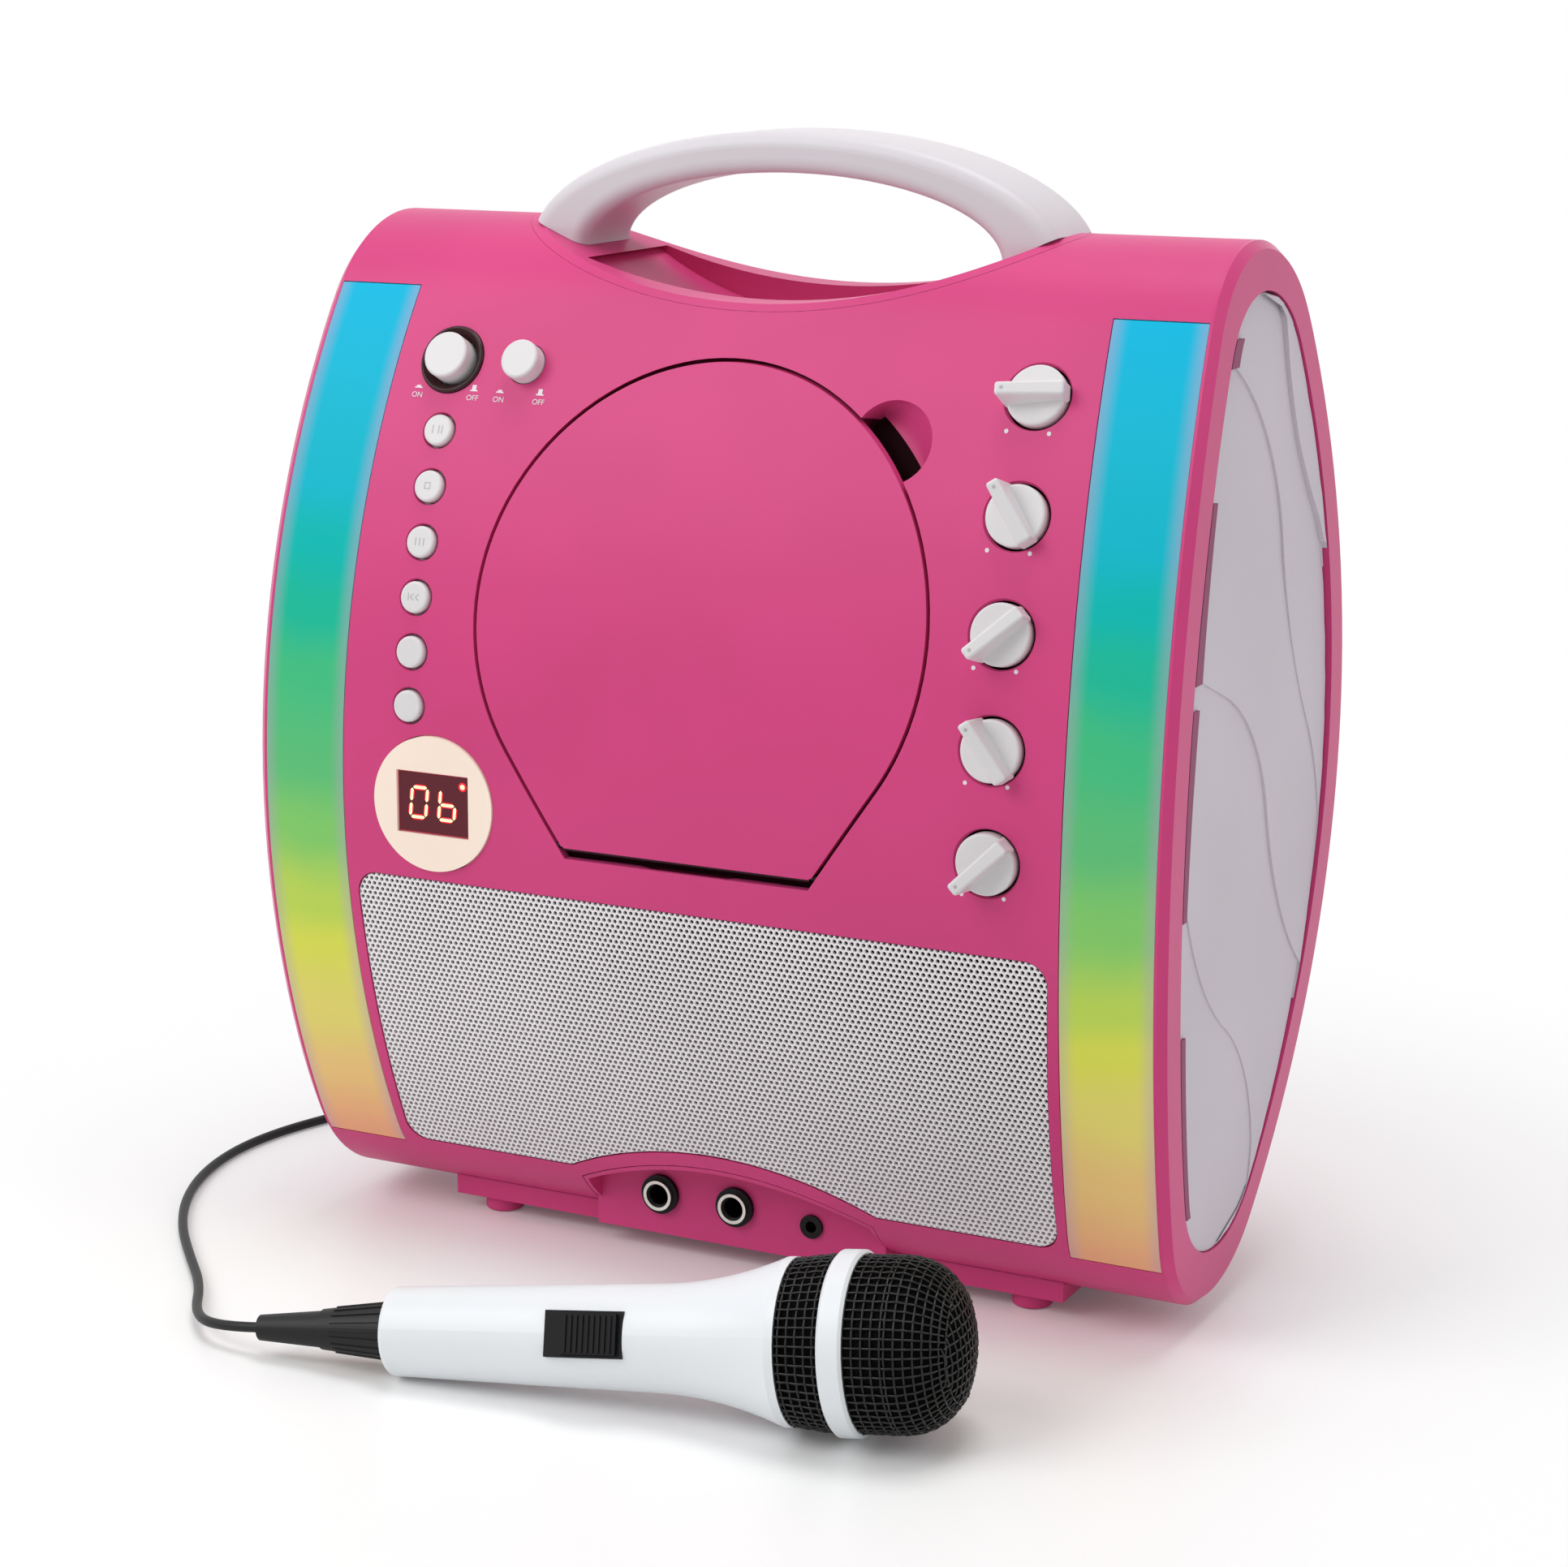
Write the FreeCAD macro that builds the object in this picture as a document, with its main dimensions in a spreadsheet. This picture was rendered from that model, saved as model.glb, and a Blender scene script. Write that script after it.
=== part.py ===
import FreeCAD, Part
import Sketcher
import math
import os
import re

# Karaoke machine with a disc door, two light strips, a speaker and a microphone on a cord
# Lengths are millimetres, angles degrees, +Z is up and the front faces -Y

V = FreeCAD.Vector
AXIS_X = V(1, 0, 0)
AXIS_Y = V(0, 1, 0)
AXIS_Z = V(0, 0, 1)
FULL_TURN = 360

# Driving dimensions, piece by piece
SIZES = {
    # cabinet seen from the side: two large arcs joined by a round crown and a round toe
    "cabinet_y": 37.26, "front_curve": 300, "front_peak_rise": 140, "front_stand": 64.5,
    "rear_curve": 236, "rear_peak_rise": 176, "rear_stand": 85.4, "crown_round": 45, "toe_round": 43,
    # cabinet seen from the front: bulging ends
    "half_width": 149, "end_curve": 2070, "end_peak_rise": 155,
    "wall": 3, "split_y": 16, "cabinet_rise": 320, "overrun": 2,
    "fit_gap": 0.3, "seat_gap": 0.1, "move_gap": 0.4, "shaft_gap": 0.05,
    # end frames and side panels
    "frame_band": 3.2, "frame_bevel": 2.4, "frame_collar": 8, "panel_margin": 12.5,
    "panel_crown_round": 34, "panel_toe_round": 34, "panel_sink": 2.6, "panel_thick": 2.6,
    "wave_step": 0.6,
    # dip, handle well and handle
    "dip_curve": 195, "dip_rise": 294, "bezel": 2.2, "well_curve": 118, "well_drop": 10,
    "well_front_y": -9, "well_rear_y": 41, "well_wall": 2,
    "handle_half_span": 88, "handle_lift": 12, "handle_spring": "=dip_rise + handle_lift",
    "handle_arch": 36, "handle_rise": "=handle_spring + handle_arch", "grip_thick": 12, "leg_thick": 19.5,
    "handle_front_y": 0, "handle_depth": 32, "handle_round": 4.5,
    # light strips and their boards
    "strip_width": 28, "strip_thick": 2.4, "strip_bottom": 26.5, "strip_top": 294.5,
    "light_depth": 13, "light_board_thick": 1.6, "light_board_inset": 11, "light_board_wide": 29.5,
    "light_board_end": "=half_width - light_board_inset",
    "light_board_x": "=light_board_end - light_board_wide",
    "light_board_bottom": 45, "light_board_top": 280, "light_rib": 2, "lamp_size": 5, "lamp_pitch": 28,
    # disc door, its opening, hinge and finger notch
    "door_radius": 74, "door_rise": 205, "door_drop": 72.4, "flare_angle": 55.6, "door_gap": 1.2,
    "door_thick": 2.6, "hinge_rise": 136.2, "barrel_radius": 1.5, "barrel_half": 40.5,
    "pin_radius": 0.9, "pin_reach": 45.5, "pin_grip": 8,
    "notch_x": 54, "notch_rise": 259, "notch_radius": 12.5, "notch_wall": 2, "notch_depth": 12,
    # disc well and disc mechanism, on a deck tilted like the door
    "deck_tilt": 12.5, "deck_rise": 205, "deck_y": -44, "deck_radius": 80, "disc_recess": 62.5,
    "recess_depth": 4, "deck_floor": 3, "door_clear": 2.5, "spindle_hole": 3,
    "hub_radius": 15, "hub_thick": 1.8, "hub_boss": 7.4, "hub_boss_top": 6, "hub_boss_rise": 2.2,
    "hub_nose_rise": 3.6, "spindle_radius": 1.2, "spindle_reach": 13, "motor_radius": 10,
    "motor_depth": 12,
    "slot_start": 19, "slot_end": 63, "slot_half": 6, "pickup_start": 24, "pickup_half": 9,
    "pickup_top": 8,
    "pickup_depth": 7.5, "pickup_up": 14.5, "pickup_down": 22.5, "turret_radius": 3.6, "turret_gap": 0.7,
    "rod_radius": 1.5, "rod_spread": 11, "rod_depth": 12, "post_start": 11.2, "post_end": 70,
    "post_thick": 2.8,
    "post_depth": 9, "screw_radius": 1.6, "screw_v": 18.5, "sled_motor_radius": 4.8,
    "sled_motor_depth": 11,
    # push buttons
    "button_inset": 54.5, "button_x": "=button_inset - half_width", "button_rise": 253.7,
    "button_pitch": 16.1, "button_radius": 4.8, "button_proud": 1.3, "button_gap": 0.6,
    "button_flare": 0.8,
    "button_edge": 0.9, "flange_out": 1.2, "flange_thick": 1.2, "stem_radius": 2, "button_stem": 5,
    "button_travel": 1,
    "power_inset": 54, "power_x": "=power_inset - half_width", "power_rise": 274, "power_radius": 7.2,
    "power_proud": 5, "ring_radius": 10.7, "ring_lip": 0.9, "ring_flange": 1.4, "ring_back": 1.6,
    "latch_stem": 9, "latch_travel": 3, "lights_inset": 79.7, "lights_x": "=lights_inset - half_width",
    "lights_radius": 6.1,
    # knobs
    "knob_inset": 53.5, "knob_x": "=half_width - knob_inset", "knob_rise": 273.5, "knob_pitch": 31.6,
    "knob_radius": 8.9, "knob_hole": 9.6, "knob_flare": 1.1, "knob_cap_rise": 1.8, "knob_cap_drop": 2,
    "knob_edge": 0.8, "fin_half": 9.6, "fin_thick": 5.2, "fin_top_thick": 3.6, "fin_rise": 10,
    "fin_heel_rise": 5.5, "fin_round": 0.9, "shaft_radius": 3, "shaft_reach": 17,
    "pot_radius": 8, "pot_top": 12, "pot_floor": 18,
    # control boards behind the front face
    "board_rise": 224, "board_depth": 22.4, "board_thick": 1.6, "board_margin": 6.5, "board_past": 13,
    "board_left_x": "=button_x - board_margin", "board_inner_x": "=button_x + board_past",
    "board_head_margin": 10, "board_head_past": 8.3, "board_head_x": "=power_x - board_head_margin",
    "board_head_end": "=lights_x + board_head_past",
    "board_low": 58, "board_head_low": 38, "board_high": 62,
    "switch_radius": 3, "switch_foot": 23.2, "standoff_radius": 2.2, "standoff_side": 9.5,
    "standoff_x": "=button_x + standoff_side",
    "standoff_high": 245, "standoff_low": 181, "dial_board_rise": 210, "dial_board_margin": 9.5,
    "dial_board_start": "=knob_x - dial_board_margin", "dial_board_end": "=knob_x + dial_board_margin",
    "dial_board_half": 74, "dial_standoff_high": 257.7, "dial_standoff_low": 162.9,
    # display
    "display_inset": 63.5, "display_x": "=display_inset - half_width", "display_rise": 144.2,
    "display_radius": 20.7, "display_proud": 0.5,
    "display_thick": 3.5, "digits_width": 25, "digits_height": 19, "digits_depth": 9, "digits_sink": 0.4,
    # grille and speaker
    "grille_top": 120, "grille_bottom": 28.5, "grille_inset": 35, "grille_draft": 3.5,
    "grille_half_top": "=half_width - grille_inset",
    "grille_half_bottom": "=grille_half_top - grille_draft",
    "grille_corner": 7, "grille_thick": 0.9, "grille_sink": 0.4, "grille_recess": 1.5,
    "arch_curve": 112, "arch_rise": 36, "arch_border": 4.7,
    "speaker_rise": 76, "speaker_radius": 40, "speaker_mouth": 36, "baffle_ring": 3.2, "baffle_out": 1.5,
    "basket_flange": 2.2, "basket_depth": 17, "basket_foot": 23, "basket_wall": 1.4, "cone_inner": 11,
    "cone_depth": 12, "cone_thick": 0.9, "cone_roll": 2.2, "dust_rise": 3, "magnet_radius": 19,
    "magnet_depth": 13,
    # jack panel and jacks
    "jack_half": 50, "jack_face_y": -30.5, "jack_back_y": -25, "jack_foot": 6,
    "mic_jack_x": -27, "mic_jack_pitch": 26, "jack_rise": 19.3, "jack_radius": 6.2, "jack_barrel": 5.2,
    "jack_lip": 1.4, "jack_bore": 3.2, "jack_ring_in": 3.8, "jack_nut": 1.8,
    "jack_depth": 24, "jack_bore_depth": 20, "jack_ring_radius": 4.8,
    "jack_ring_rise": 3.1, "aux_x": 25, "aux_rise": 17.2, "aux_radius": 3.7, "aux_bore": 1.8,
    "aux_nut": 1,
    "aux_depth": 17, "aux_bore_depth": 14,
    # plinth and feet
    "plinth_inset": 44, "plinth_half": "=half_width - plinth_inset", "plinth_front_y": -25,
    "plinth_rear_y": 62, "plinth_bottom": 4.9, "plinth_top": 18, "foot_inset": 13,
    "foot_x": "=plinth_half - foot_inset",
    "foot_front_y": -17, "foot_rear_y": 53, "foot_radius": 6.2, "foot_edge": 0.8,
    # rear sockets, main board and case screws
    "terminal_half": 36, "terminal_bottom": 72, "terminal_top": 101, "socket_rise": 86, "socket_x": -24,
    "socket_pitch": 16, "socket_radius": 4.2, "socket_flange": 6, "socket_reach": 8.5,
    "socket_flange_thick": 1.4,
    "socket_depth": 8, "socket_bore": 1.7, "socket_bore_depth": 7, "inlet_x": 26, "inlet_radius": 5.4,
    "inlet_bore": 2.75, "inlet_bore_depth": 9, "inlet_depth": 12, "inlet_proud": 1.2, "inlet_pin": 1,
    "main_half": 48, "main_y": 62, "main_thick": 1.6, "main_bottom": 122, "main_top": 205, "main_post": 3,
    "main_post_inset": 6, "sink_width": 34, "sink_height": 24, "sink_depth": 16, "can_radius": 5,
    "can_depth": 13,
    "screw_low_inset": 71, "screw_low_x": "=half_width - screw_low_inset", "screw_low_rise": 62,
    "screw_high_inset": 44, "screw_high_x": "=half_width - screw_high_inset", "screw_high_rise": 296,
    "boss_radius": 4.2,
    "case_screw": 1.5, "case_screw_head": 3, "head_thick": 2, "head_seat": 12, "thread_reach": 10,
    # microphone, along its own axis from the tail
    "mic_x": -49.1, "mic_y": -147.7, "mic_turn": 9.37, "switch_roll": 24, "tail_radius": 12.64,
    "tail_edge": 1.6,
    "grip_mid": 42, "grip_mid_radius": 13.9, "flare_start": 80, "flare_start_radius": 15,
    "flare_curve": 105,
    "cup_start": 118, "cup_radius": 23.2, "cup_end": 120.5, "mesh_start_radius": 22.6,
    "ring_start": 133.2,
    "ring_end": 140.2, "ring_out_radius": 25.45, "ring_chamfer": 0.8, "head_radius": 24.2,
    "head_end": 170,
    "plate_start": 51.5, "plate_end": 74.5, "plate_half": 6.4, "plate_floor": 12.6, "plate_face": 14.4,
    "slider_start": 56.5, "slider_end": 73, "slider_half": 5.6, "slider_rise": 1.1, "slider_stem": 2.2,
    "slider_travel": 4, "slider_rib": 0.5, "slider_rib_wide": 0.8,
    "collar_radius": 8.2, "collar_end": 22, "collar_end_radius": 5.8, "boot_radius": 5.3, "boot_end": 42,
    "boot_end_radius": 3.7,
    # cord, coil, tie and plug
    "cord_radius": 1.5, "coil_inner": 12.15, "coil_pitch": 3.95, "layer_pitch": 3.95,
    "tie_wide": 9, "tie_thick": 0.8, "tail_run": 45, "tail_side": 1.5, "plug_rise": 5.9,
    "plug_sleeve": 5.6, "plug_sleeve_end": 40, "plug_boot": 12, "plug_neck": 4.6, "plug_pin": 3.17,
    "plug_pin_end": 71, "plug_tip_neck": 2.2, "plug_tip_start": 66, "plug_tip_root": 68,
}

# Counts and fixed angles
BUTTON_NAMES = ["play_pause_button", "stop_button", "forward_button", "back_button",
                "repeat_button", "function_button"]
KNOB_NAMES = ["volume_knob", "echo_knob", "voice_knob", "balance_knob", "mic_volume_knob"]
KNOB_ANGLES = [188, 125, 225, 125, 225]
# wavy steps of a side panel: depth, height and arc radius by the cabinet's height, and the arc's side
WAVE_SHARES = [
    [(-0.14, 0.93), (-0.031, 0.884), (0.097, 0.70, 0.224, -1), (0.17, 0.532, 0.39, 1),
     (0.2125, 0.4375, 0.24, -1), (0.2375, 0.325), (0.4, 0.325), (0.4, -0.05), (-0.3, -0.05), (-0.3, 0.93)],
    [(-0.234, 0.6656), (-0.058, 0.5966), (0.0578, 0.4688, 0.194, -1), (0.1306, 0.3369, 0.3375, 1),
     (0.2344, 0.2625, 0.297, 1), (0.4, 0.2625), (0.4, -0.05), (-0.3, -0.05), (-0.3, 0.6656)],
    [(-0.194, 0.5156), (-0.14, 0.4053), (-0.031, 0.286, 0.29, 1), (0.0672, 0.147, 0.226, -1),
     (0.0406, 0.031, 0.19, -1), (0.0406, -0.05), (-0.3, -0.05), (-0.3, 0.5156)]]
SLIVER_SHARES = [(0.106, 0.953), (0.1147, 0.914), (0.1656, 0.791, 0.375, 1), (0.2125, 0.669, 0.375, -1),
                 (0.4, 0.669), (0.4, 0.953)]
LAYER_TURNS = 3
LAYERS = 4
SLIDER_RIBS = 9
LAMPS = 8

doc = FreeCAD.newDocument("karaoke_machine")
sheet = doc.addObject("Spreadsheet::Sheet", "Sizes")
for row, (size_name, size) in enumerate(SIZES.items(), 1):
    sheet.set(f"A{row}", size_name)
    sheet.set(f"B{row}", str(size))
    sheet.setAlias(f"B{row}", size_name)
reckoner = doc.addObject("App::FeaturePython", "Reckoner")
reckoner.addProperty("App::PropertyFloat", "Amount")
doc.recompute()

NAMES = re.compile(r"\b(" + "|".join(sorted(SIZES, key=len, reverse=True)) + r")\b")
nodes = {}


# Helpers that bind sizes and places to the sheet
def linked(text):
    """Expression with every size name pointed at the sheet."""
    return NAMES.sub(r"Sizes.\1", str(text))


def amount(text):
    """Number that an expression of sizes comes to."""
    reckoner.setExpression("Amount", linked(text))
    reckoner.recompute()
    return reckoner.Amount


def bind(obj, links):
    for prop, text in links.items():
        obj.setExpression(prop, linked(text))
    return obj


def place(obj, x, y, z, rotation=None):
    """Place in the cabinet's own frame, which stands cabinet_y behind the origin."""
    if rotation:
        obj.Placement = FreeCAD.Placement(V(), rotation)
    return bind(obj, {"Placement.Base.x": x, "Placement.Base.y": f"cabinet_y + ({y})",
                      "Placement.Base.z": z})


def face_y(rise, out="0"):
    return (f"front_curve - front_stand - (front_curve + ({out}))"
            f" * sqrt(1 - (({rise} - front_peak_rise) / front_curve) ^ 2)")


def face_z(rise, out="0"):
    return f"front_peak_rise + (front_curve + ({out})) * ({rise} - front_peak_rise) / front_curve"


def on_front(obj, x, rise, out="0"):
    """Stand an object's own +Z square to the front face at a height."""
    place(obj, x, face_y(rise, out), face_z(rise, out), FreeCAD.Rotation(AXIS_X, 90))
    return bind(obj,
                {"Placement.Rotation.Angle": f"90 deg - asin(({rise} - front_peak_rise) / front_curve)"})


def on_rear(obj, x, rise, out="0"):
    """Stand an object's own +Z square to the rear face at a height."""
    slope = f"(({rise} - rear_peak_rise) / rear_curve)"
    y = f"rear_stand - rear_curve + (rear_curve + ({out})) * sqrt(1 - {slope} ^ 2)"
    place(obj, x, y, f"rear_peak_rise + (rear_curve + ({out})) * {slope}", FreeCAD.Rotation(AXIS_X, -90))
    return bind(obj, {"Placement.Rotation.Angle": f"asin({slope}) - 90 deg"})


def on_deck(obj, u, v, out, turn=None):
    """Place along the tilted disc deck: u to the right, v up the deck, out towards the door."""
    tilt = "(deck_tilt * 1 deg)"
    place(obj, u, f"deck_y + ({v}) * sin{tilt} - ({out}) * cos{tilt}",
          f"deck_rise + ({v}) * cos{tilt} + ({out}) * sin{tilt}", FreeCAD.Rotation(AXIS_X, 90))
    if turn is None:
        return bind(obj, {"Placement.Rotation.Angle": "90 deg - deck_tilt * 1 deg"})
    obj.Placement.Rotation = FreeCAD.Rotation(AXIS_X, 90 - amount("deck_tilt")).multiply(turn)
    return obj


# Helpers that make solids
def rod(name, radius, length):
    return bind(doc.addObject("Part::Cylinder", name), {"Radius": radius, "Height": length})


def rod_y(name, radius, x, z, start, end):
    made = rod(name, radius, f"({end}) - ({start})")
    return place(made, x, start, z, FreeCAD.Rotation(AXIS_X, -90))


def rod_x(name, radius, y, z, start, end):
    made = rod(name, radius, f"({end}) - ({start})")
    return place(made, start, y, z, FreeCAD.Rotation(AXIS_Y, 90))


def block(name, length, width, height):
    return bind(doc.addObject("Part::Box", name), {"Length": length, "Width": width, "Height": height})


def box(name, x, y, z):
    """Box between the two ends given along each axis."""
    made = block(name, f"({x[1]}) - ({x[0]})", f"({y[1]}) - ({y[0]})", f"({z[1]}) - ({z[0]})")
    return place(made, x[0], y[0], z[0])


def deck_box(name, u, v, out):
    made = block(name, f"({u[1]}) - ({u[0]})", f"({v[1]}) - ({v[0]})", f"({out[1]}) - ({out[0]})")
    return on_deck(made, u[0], v[0], out[0])


def front_box(name, x, along, depth, rise):
    """Box parallel to the front face at a height, with its depth counted inwards."""
    made = block(name, f"({x[1]}) - ({x[0]})", f"({along[1]}) - ({along[0]})",
                 f"({depth[1]}) - ({depth[0]})")
    tilt = f"asin(({rise} - front_peak_rise) / front_curve)"
    y = f"{face_y(rise)} + ({along[0]}) * sin({tilt}) + ({depth[1]}) * cos({tilt})"
    z = f"{rise} + ({along[0]}) * cos({tilt}) - ({depth[1]}) * sin({tilt})"
    place(made, x[0], y, z, FreeCAD.Rotation(AXIS_X, 90))
    return bind(made, {"Placement.Rotation.Angle": f"90 deg - {tilt}"})


def front_rod(name, radius, x, rise, low, high):
    """Round bar square to the front face, between two heights above it."""
    return on_front(rod(name, radius, f"({high}) - ({low})"), x, rise, low)


def outline(body, role, points):
    """Closed sketch; a point may add the radius and side of the arc that leads to it."""
    sketch = body.newObject("Sketcher::SketchObject", body.Name + "_outline")
    plane = next(feature for feature in body.Origin.OriginFeatures if feature.Role == role)
    sketch.AttachmentSupport = [(plane, "")]
    sketch.MapMode = "FlatFace"
    corners = [V(amount(point[0]), amount(point[1]), 0) for point in points]
    count = len(points)
    for number in range(count):
        start = corners[number]
        end = corners[(number + 1) % count]
        leading = points[(number + 1) % count]
        if len(leading) == 2:
            sketch.addGeometry(Part.LineSegment(start, end), False)
            continue
        radius = amount(leading[2])
        middle = (start + end) * 0.5
        across = (end - start).cross(AXIS_Z).normalize()
        half = start.distanceToPoint(end) / 2
        rise = radius - math.sqrt(max(radius ** 2 - half ** 2, 0))
        bulge = middle + across * rise * leading[3]
        through = (start, bulge, end) if leading[3] > 0 else (end, bulge, start)
        sketch.addGeometry(Part.Arc(*through), False)
    ends = []
    for number in range(count):
        geometry = sketch.Geometry[number]
        flipped = geometry.StartPoint.distanceToPoint(corners[number]) > 1e-6
        ends.append((2, 1) if flipped else (1, 2))
    for number in range(count):
        after = (number + 1) % count
        sketch.addConstraint(Sketcher.Constraint("Coincident", number, ends[number][1], after,
                                                 ends[after][0]))
    for number, point in enumerate(points):
        places = (("DistanceX", corners[number].x, point[0]), ("DistanceY", corners[number].y, point[1]))
        for kind, start, text in places:
            index = sketch.addConstraint(Sketcher.Constraint(kind, -1, 1, number, ends[number][0], start))
            sketch.setExpression(f"Constraints[{index}]", linked(text))
        if len(point) > 2:
            arc = (number - 1) % count
            index = sketch.addConstraint(Sketcher.Constraint("Radius", arc, amount(point[2])))
            sketch.setExpression(f"Constraints[{index}]", linked(point[2]))
    return sketch


def turned(name, profile):
    """Solid of revolution about its own Z from a closed outline of radius and height."""
    body = doc.addObject("PartDesign::Body", name)
    sketch = outline(body, "XZ_Plane", profile)
    turn = body.newObject("PartDesign::Revolution", name + "_turn")
    turn.Profile = sketch
    turn.ReferenceAxis = (sketch, ["V_Axis"])
    turn.Angle = FULL_TURN
    return body


def prism(name, points, near, far, corner=None):
    """Outline in x and z carried along Y from far to near, with rounded corners if asked."""
    body = doc.addObject("PartDesign::Body", name)
    sketch = outline(body, "XY_Plane", points)
    pad = body.newObject("PartDesign::Pad", name + "_pad")
    pad.Profile = sketch
    bind(pad, {"Length": f"({far}) - ({near})"})
    if corner:
        doc.recompute()
        upright = [f"Edge{number}" for number, edge in enumerate(pad.Shape.Edges, 1)
                   if abs(edge.tangentAt(edge.FirstParameter).z) > 0.9]
        fillet = body.newObject("PartDesign::Fillet", name + "_corners")
        fillet.Base = (pad, upright)
        bind(fillet, {"Radius": corner})
    return place(body, "0", far, "0", FreeCAD.Rotation(AXIS_X, 90))


def cut(name, base, tools):
    """Take each tool in turn from the base; the last step carries the name."""
    for number, tool in enumerate(tools, 1):
        last = number == len(tools)
        step = doc.addObject("Part::Cut", name if last else f"{name}_cut_{number}")
        step.Base = base
        step.Tool = tool
        base = step
    return base


def fuse(name, parts):
    made = doc.addObject("Part::MultiFuse", name)
    made.Shapes = parts
    return made


def common(name, parts):
    made = doc.addObject("Part::MultiCommon", name)
    made.Shapes = parts
    return made


def group(name, parts):
    made = doc.addObject("Part::Compound", name)
    made.Links = parts
    return made


def mirrored(name, source):
    """Left-hand copy of a right-hand piece."""
    made = doc.addObject("Part::Mirroring", name)
    made.Source = source
    made.Normal = AXIS_X
    return made


def node(label, obj):
    obj.Label = label
    nodes[label] = obj
    return obj


# Side profile of the cabinet, inset evenly, and the bulging ends
REACH = "half_width + overrun"
lenses = {}


def tip_centre(front, rear, front_radius, rear_radius, tip, up):
    """Centre of the tip circle that lies inside both large arcs and touches them."""
    across = rear - front
    span = across.Length
    across = across.normalize()
    to_front = front_radius - tip
    to_rear = rear_radius - tip
    along = (to_front ** 2 - to_rear ** 2 + span ** 2) / (2 * span)
    side = math.sqrt(to_front ** 2 - along ** 2)
    upward = V(across.y, -across.x, 0)
    if upward.y < 0:
        upward = upward * -1
    return front + across * along + upward * (side if up else -side)


def lens(inset, crown=None, toe=None):
    """Cabinet profile carried from end to end, drawn in by the inset."""
    crown = crown or f"crown_round - ({inset})"
    toe = toe or f"toe_round - ({inset})"
    key = (inset, crown, toe)
    if key in lenses:
        return lenses[key]
    name = f"profile_{len(lenses)}"
    body = doc.addObject("PartDesign::Body", name)
    sketch = body.newObject("Sketcher::SketchObject", name + "_outline")
    plane = next(feature for feature in body.Origin.OriginFeatures if feature.Role == "XY_Plane")
    sketch.AttachmentSupport = [(plane, "")]
    sketch.MapMode = "FlatFace"
    front = V(amount("front_curve - front_stand"), amount("front_peak_rise"), 0)
    rear = V(amount("rear_stand - rear_curve"), amount("rear_peak_rise"), 0)
    radii = [f"front_curve - ({inset})", toe, f"rear_curve - ({inset})", crown]
    front_radius, toe_radius, rear_radius, crown_radius = [amount(text) for text in radii]
    top = tip_centre(front, rear, front_radius, rear_radius, crown_radius, True)
    bottom = tip_centre(front, rear, front_radius, rear_radius, toe_radius, False)
    angles = [math.atan2(tip.y - big.y, tip.x - big.x) % (2 * math.pi)
              for tip, big in ((top, front), (bottom, front), (bottom, rear), (top, rear))]
    angles.append(angles[0])
    for number, centre in enumerate((front, bottom, rear, top)):
        circle = Part.Circle(centre, AXIS_Z, [front_radius, toe_radius, rear_radius,
                                              crown_radius][number])
        sketch.addGeometry(Part.ArcOfCircle(circle, angles[number], angles[number + 1]), False)
    for number in range(4):
        sketch.addConstraint(Sketcher.Constraint("Tangent", number, 2, (number + 1) % 4, 1))
    for number, text in enumerate(radii):
        index = sketch.addConstraint(Sketcher.Constraint("Radius", number, amount(text)))
        sketch.setExpression(f"Constraints[{index}]", linked(text))
    centres = ((0, "front_curve - front_stand", "front_peak_rise"), (2, "rear_stand - rear_curve",
            "rear_peak_rise"))
    for arc, along, up in centres:
        for kind, text in (("DistanceX", along), ("DistanceY", up)):
            index = sketch.addConstraint(Sketcher.Constraint(kind, -1, 1, arc, 3, amount(text)))
            sketch.setExpression(f"Constraints[{index}]", linked(text))
    pad = body.newObject("PartDesign::Pad", name + "_pad")
    pad.Profile = sketch
    bind(pad, {"Length": f"2 * ({REACH})"})
    turn = FreeCAD.Rotation(V(1, 1, 1), 120)
    lenses[key] = place(body, f"-({REACH})", "0", "0", turn)
    return lenses[key]


drums = {}


def end_drum(side, inset):
    """Large upright-ended drum whose side is one bulging end of the machine."""
    key = (side, inset)
    if key not in drums:
        name = f"{side}_end_{len(drums)}"
        reach = "front_stand + rear_stand"
        x = "half_width - end_curve" if side == "right" else "end_curve - half_width"
        drums[key] = rod_y(name, f"end_curve - ({inset})", x, "end_peak_rise", f"-({reach})", reach)
    return drums[key]


FRONT_FAR = "-2 * front_stand"
REAR_FAR = "2 * rear_stand"
INSIDE_Y = "well_front_y"


# Cutters that two pieces share
def door_shape(name, gap, far):
    """Round disc-door outline with tangent flares down to a flat bottom."""
    radius = f"(door_radius - ({gap}))"
    angle = "(flare_angle * 1 deg)"
    disc = rod_y(name + "_round", radius, "0", "door_rise", FRONT_FAR, far)
    side = f"{radius} * sin{angle}"
    shoulder = f"door_rise - {radius} * cos{angle}"
    foot = f"({radius} - door_drop * cos{angle}) / sin{angle}"
    base = "door_rise - door_drop"
    points = [(f"-{side}", shoulder), (f"-({foot})", base), (foot, base), (side, shoulder)]
    return fuse(name, [disc, prism(name + "_flare", points, FRONT_FAR, far)])


def arch(name, grow, near, far):
    """Round arch over the jack panel, carried along Y."""
    return rod_y(name, f"arch_curve + ({grow})", "0", "arch_rise - arch_curve", near, far)


def strip_window(name, grow, inner_end):
    """Right-hand light strip's outline as a slab through the front wall."""
    slab = box(name + "_slab", ("0", REACH), (FRONT_FAR, "split_y - wall"),
               (f"strip_bottom - ({grow})", f"strip_top + ({grow})"))
    outer = common(name + "_outer", [slab, end_drum("right", inner_end)])
    return cut(name, outer, [end_drum("right", f"frame_band + strip_width + ({grow})")])


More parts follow.
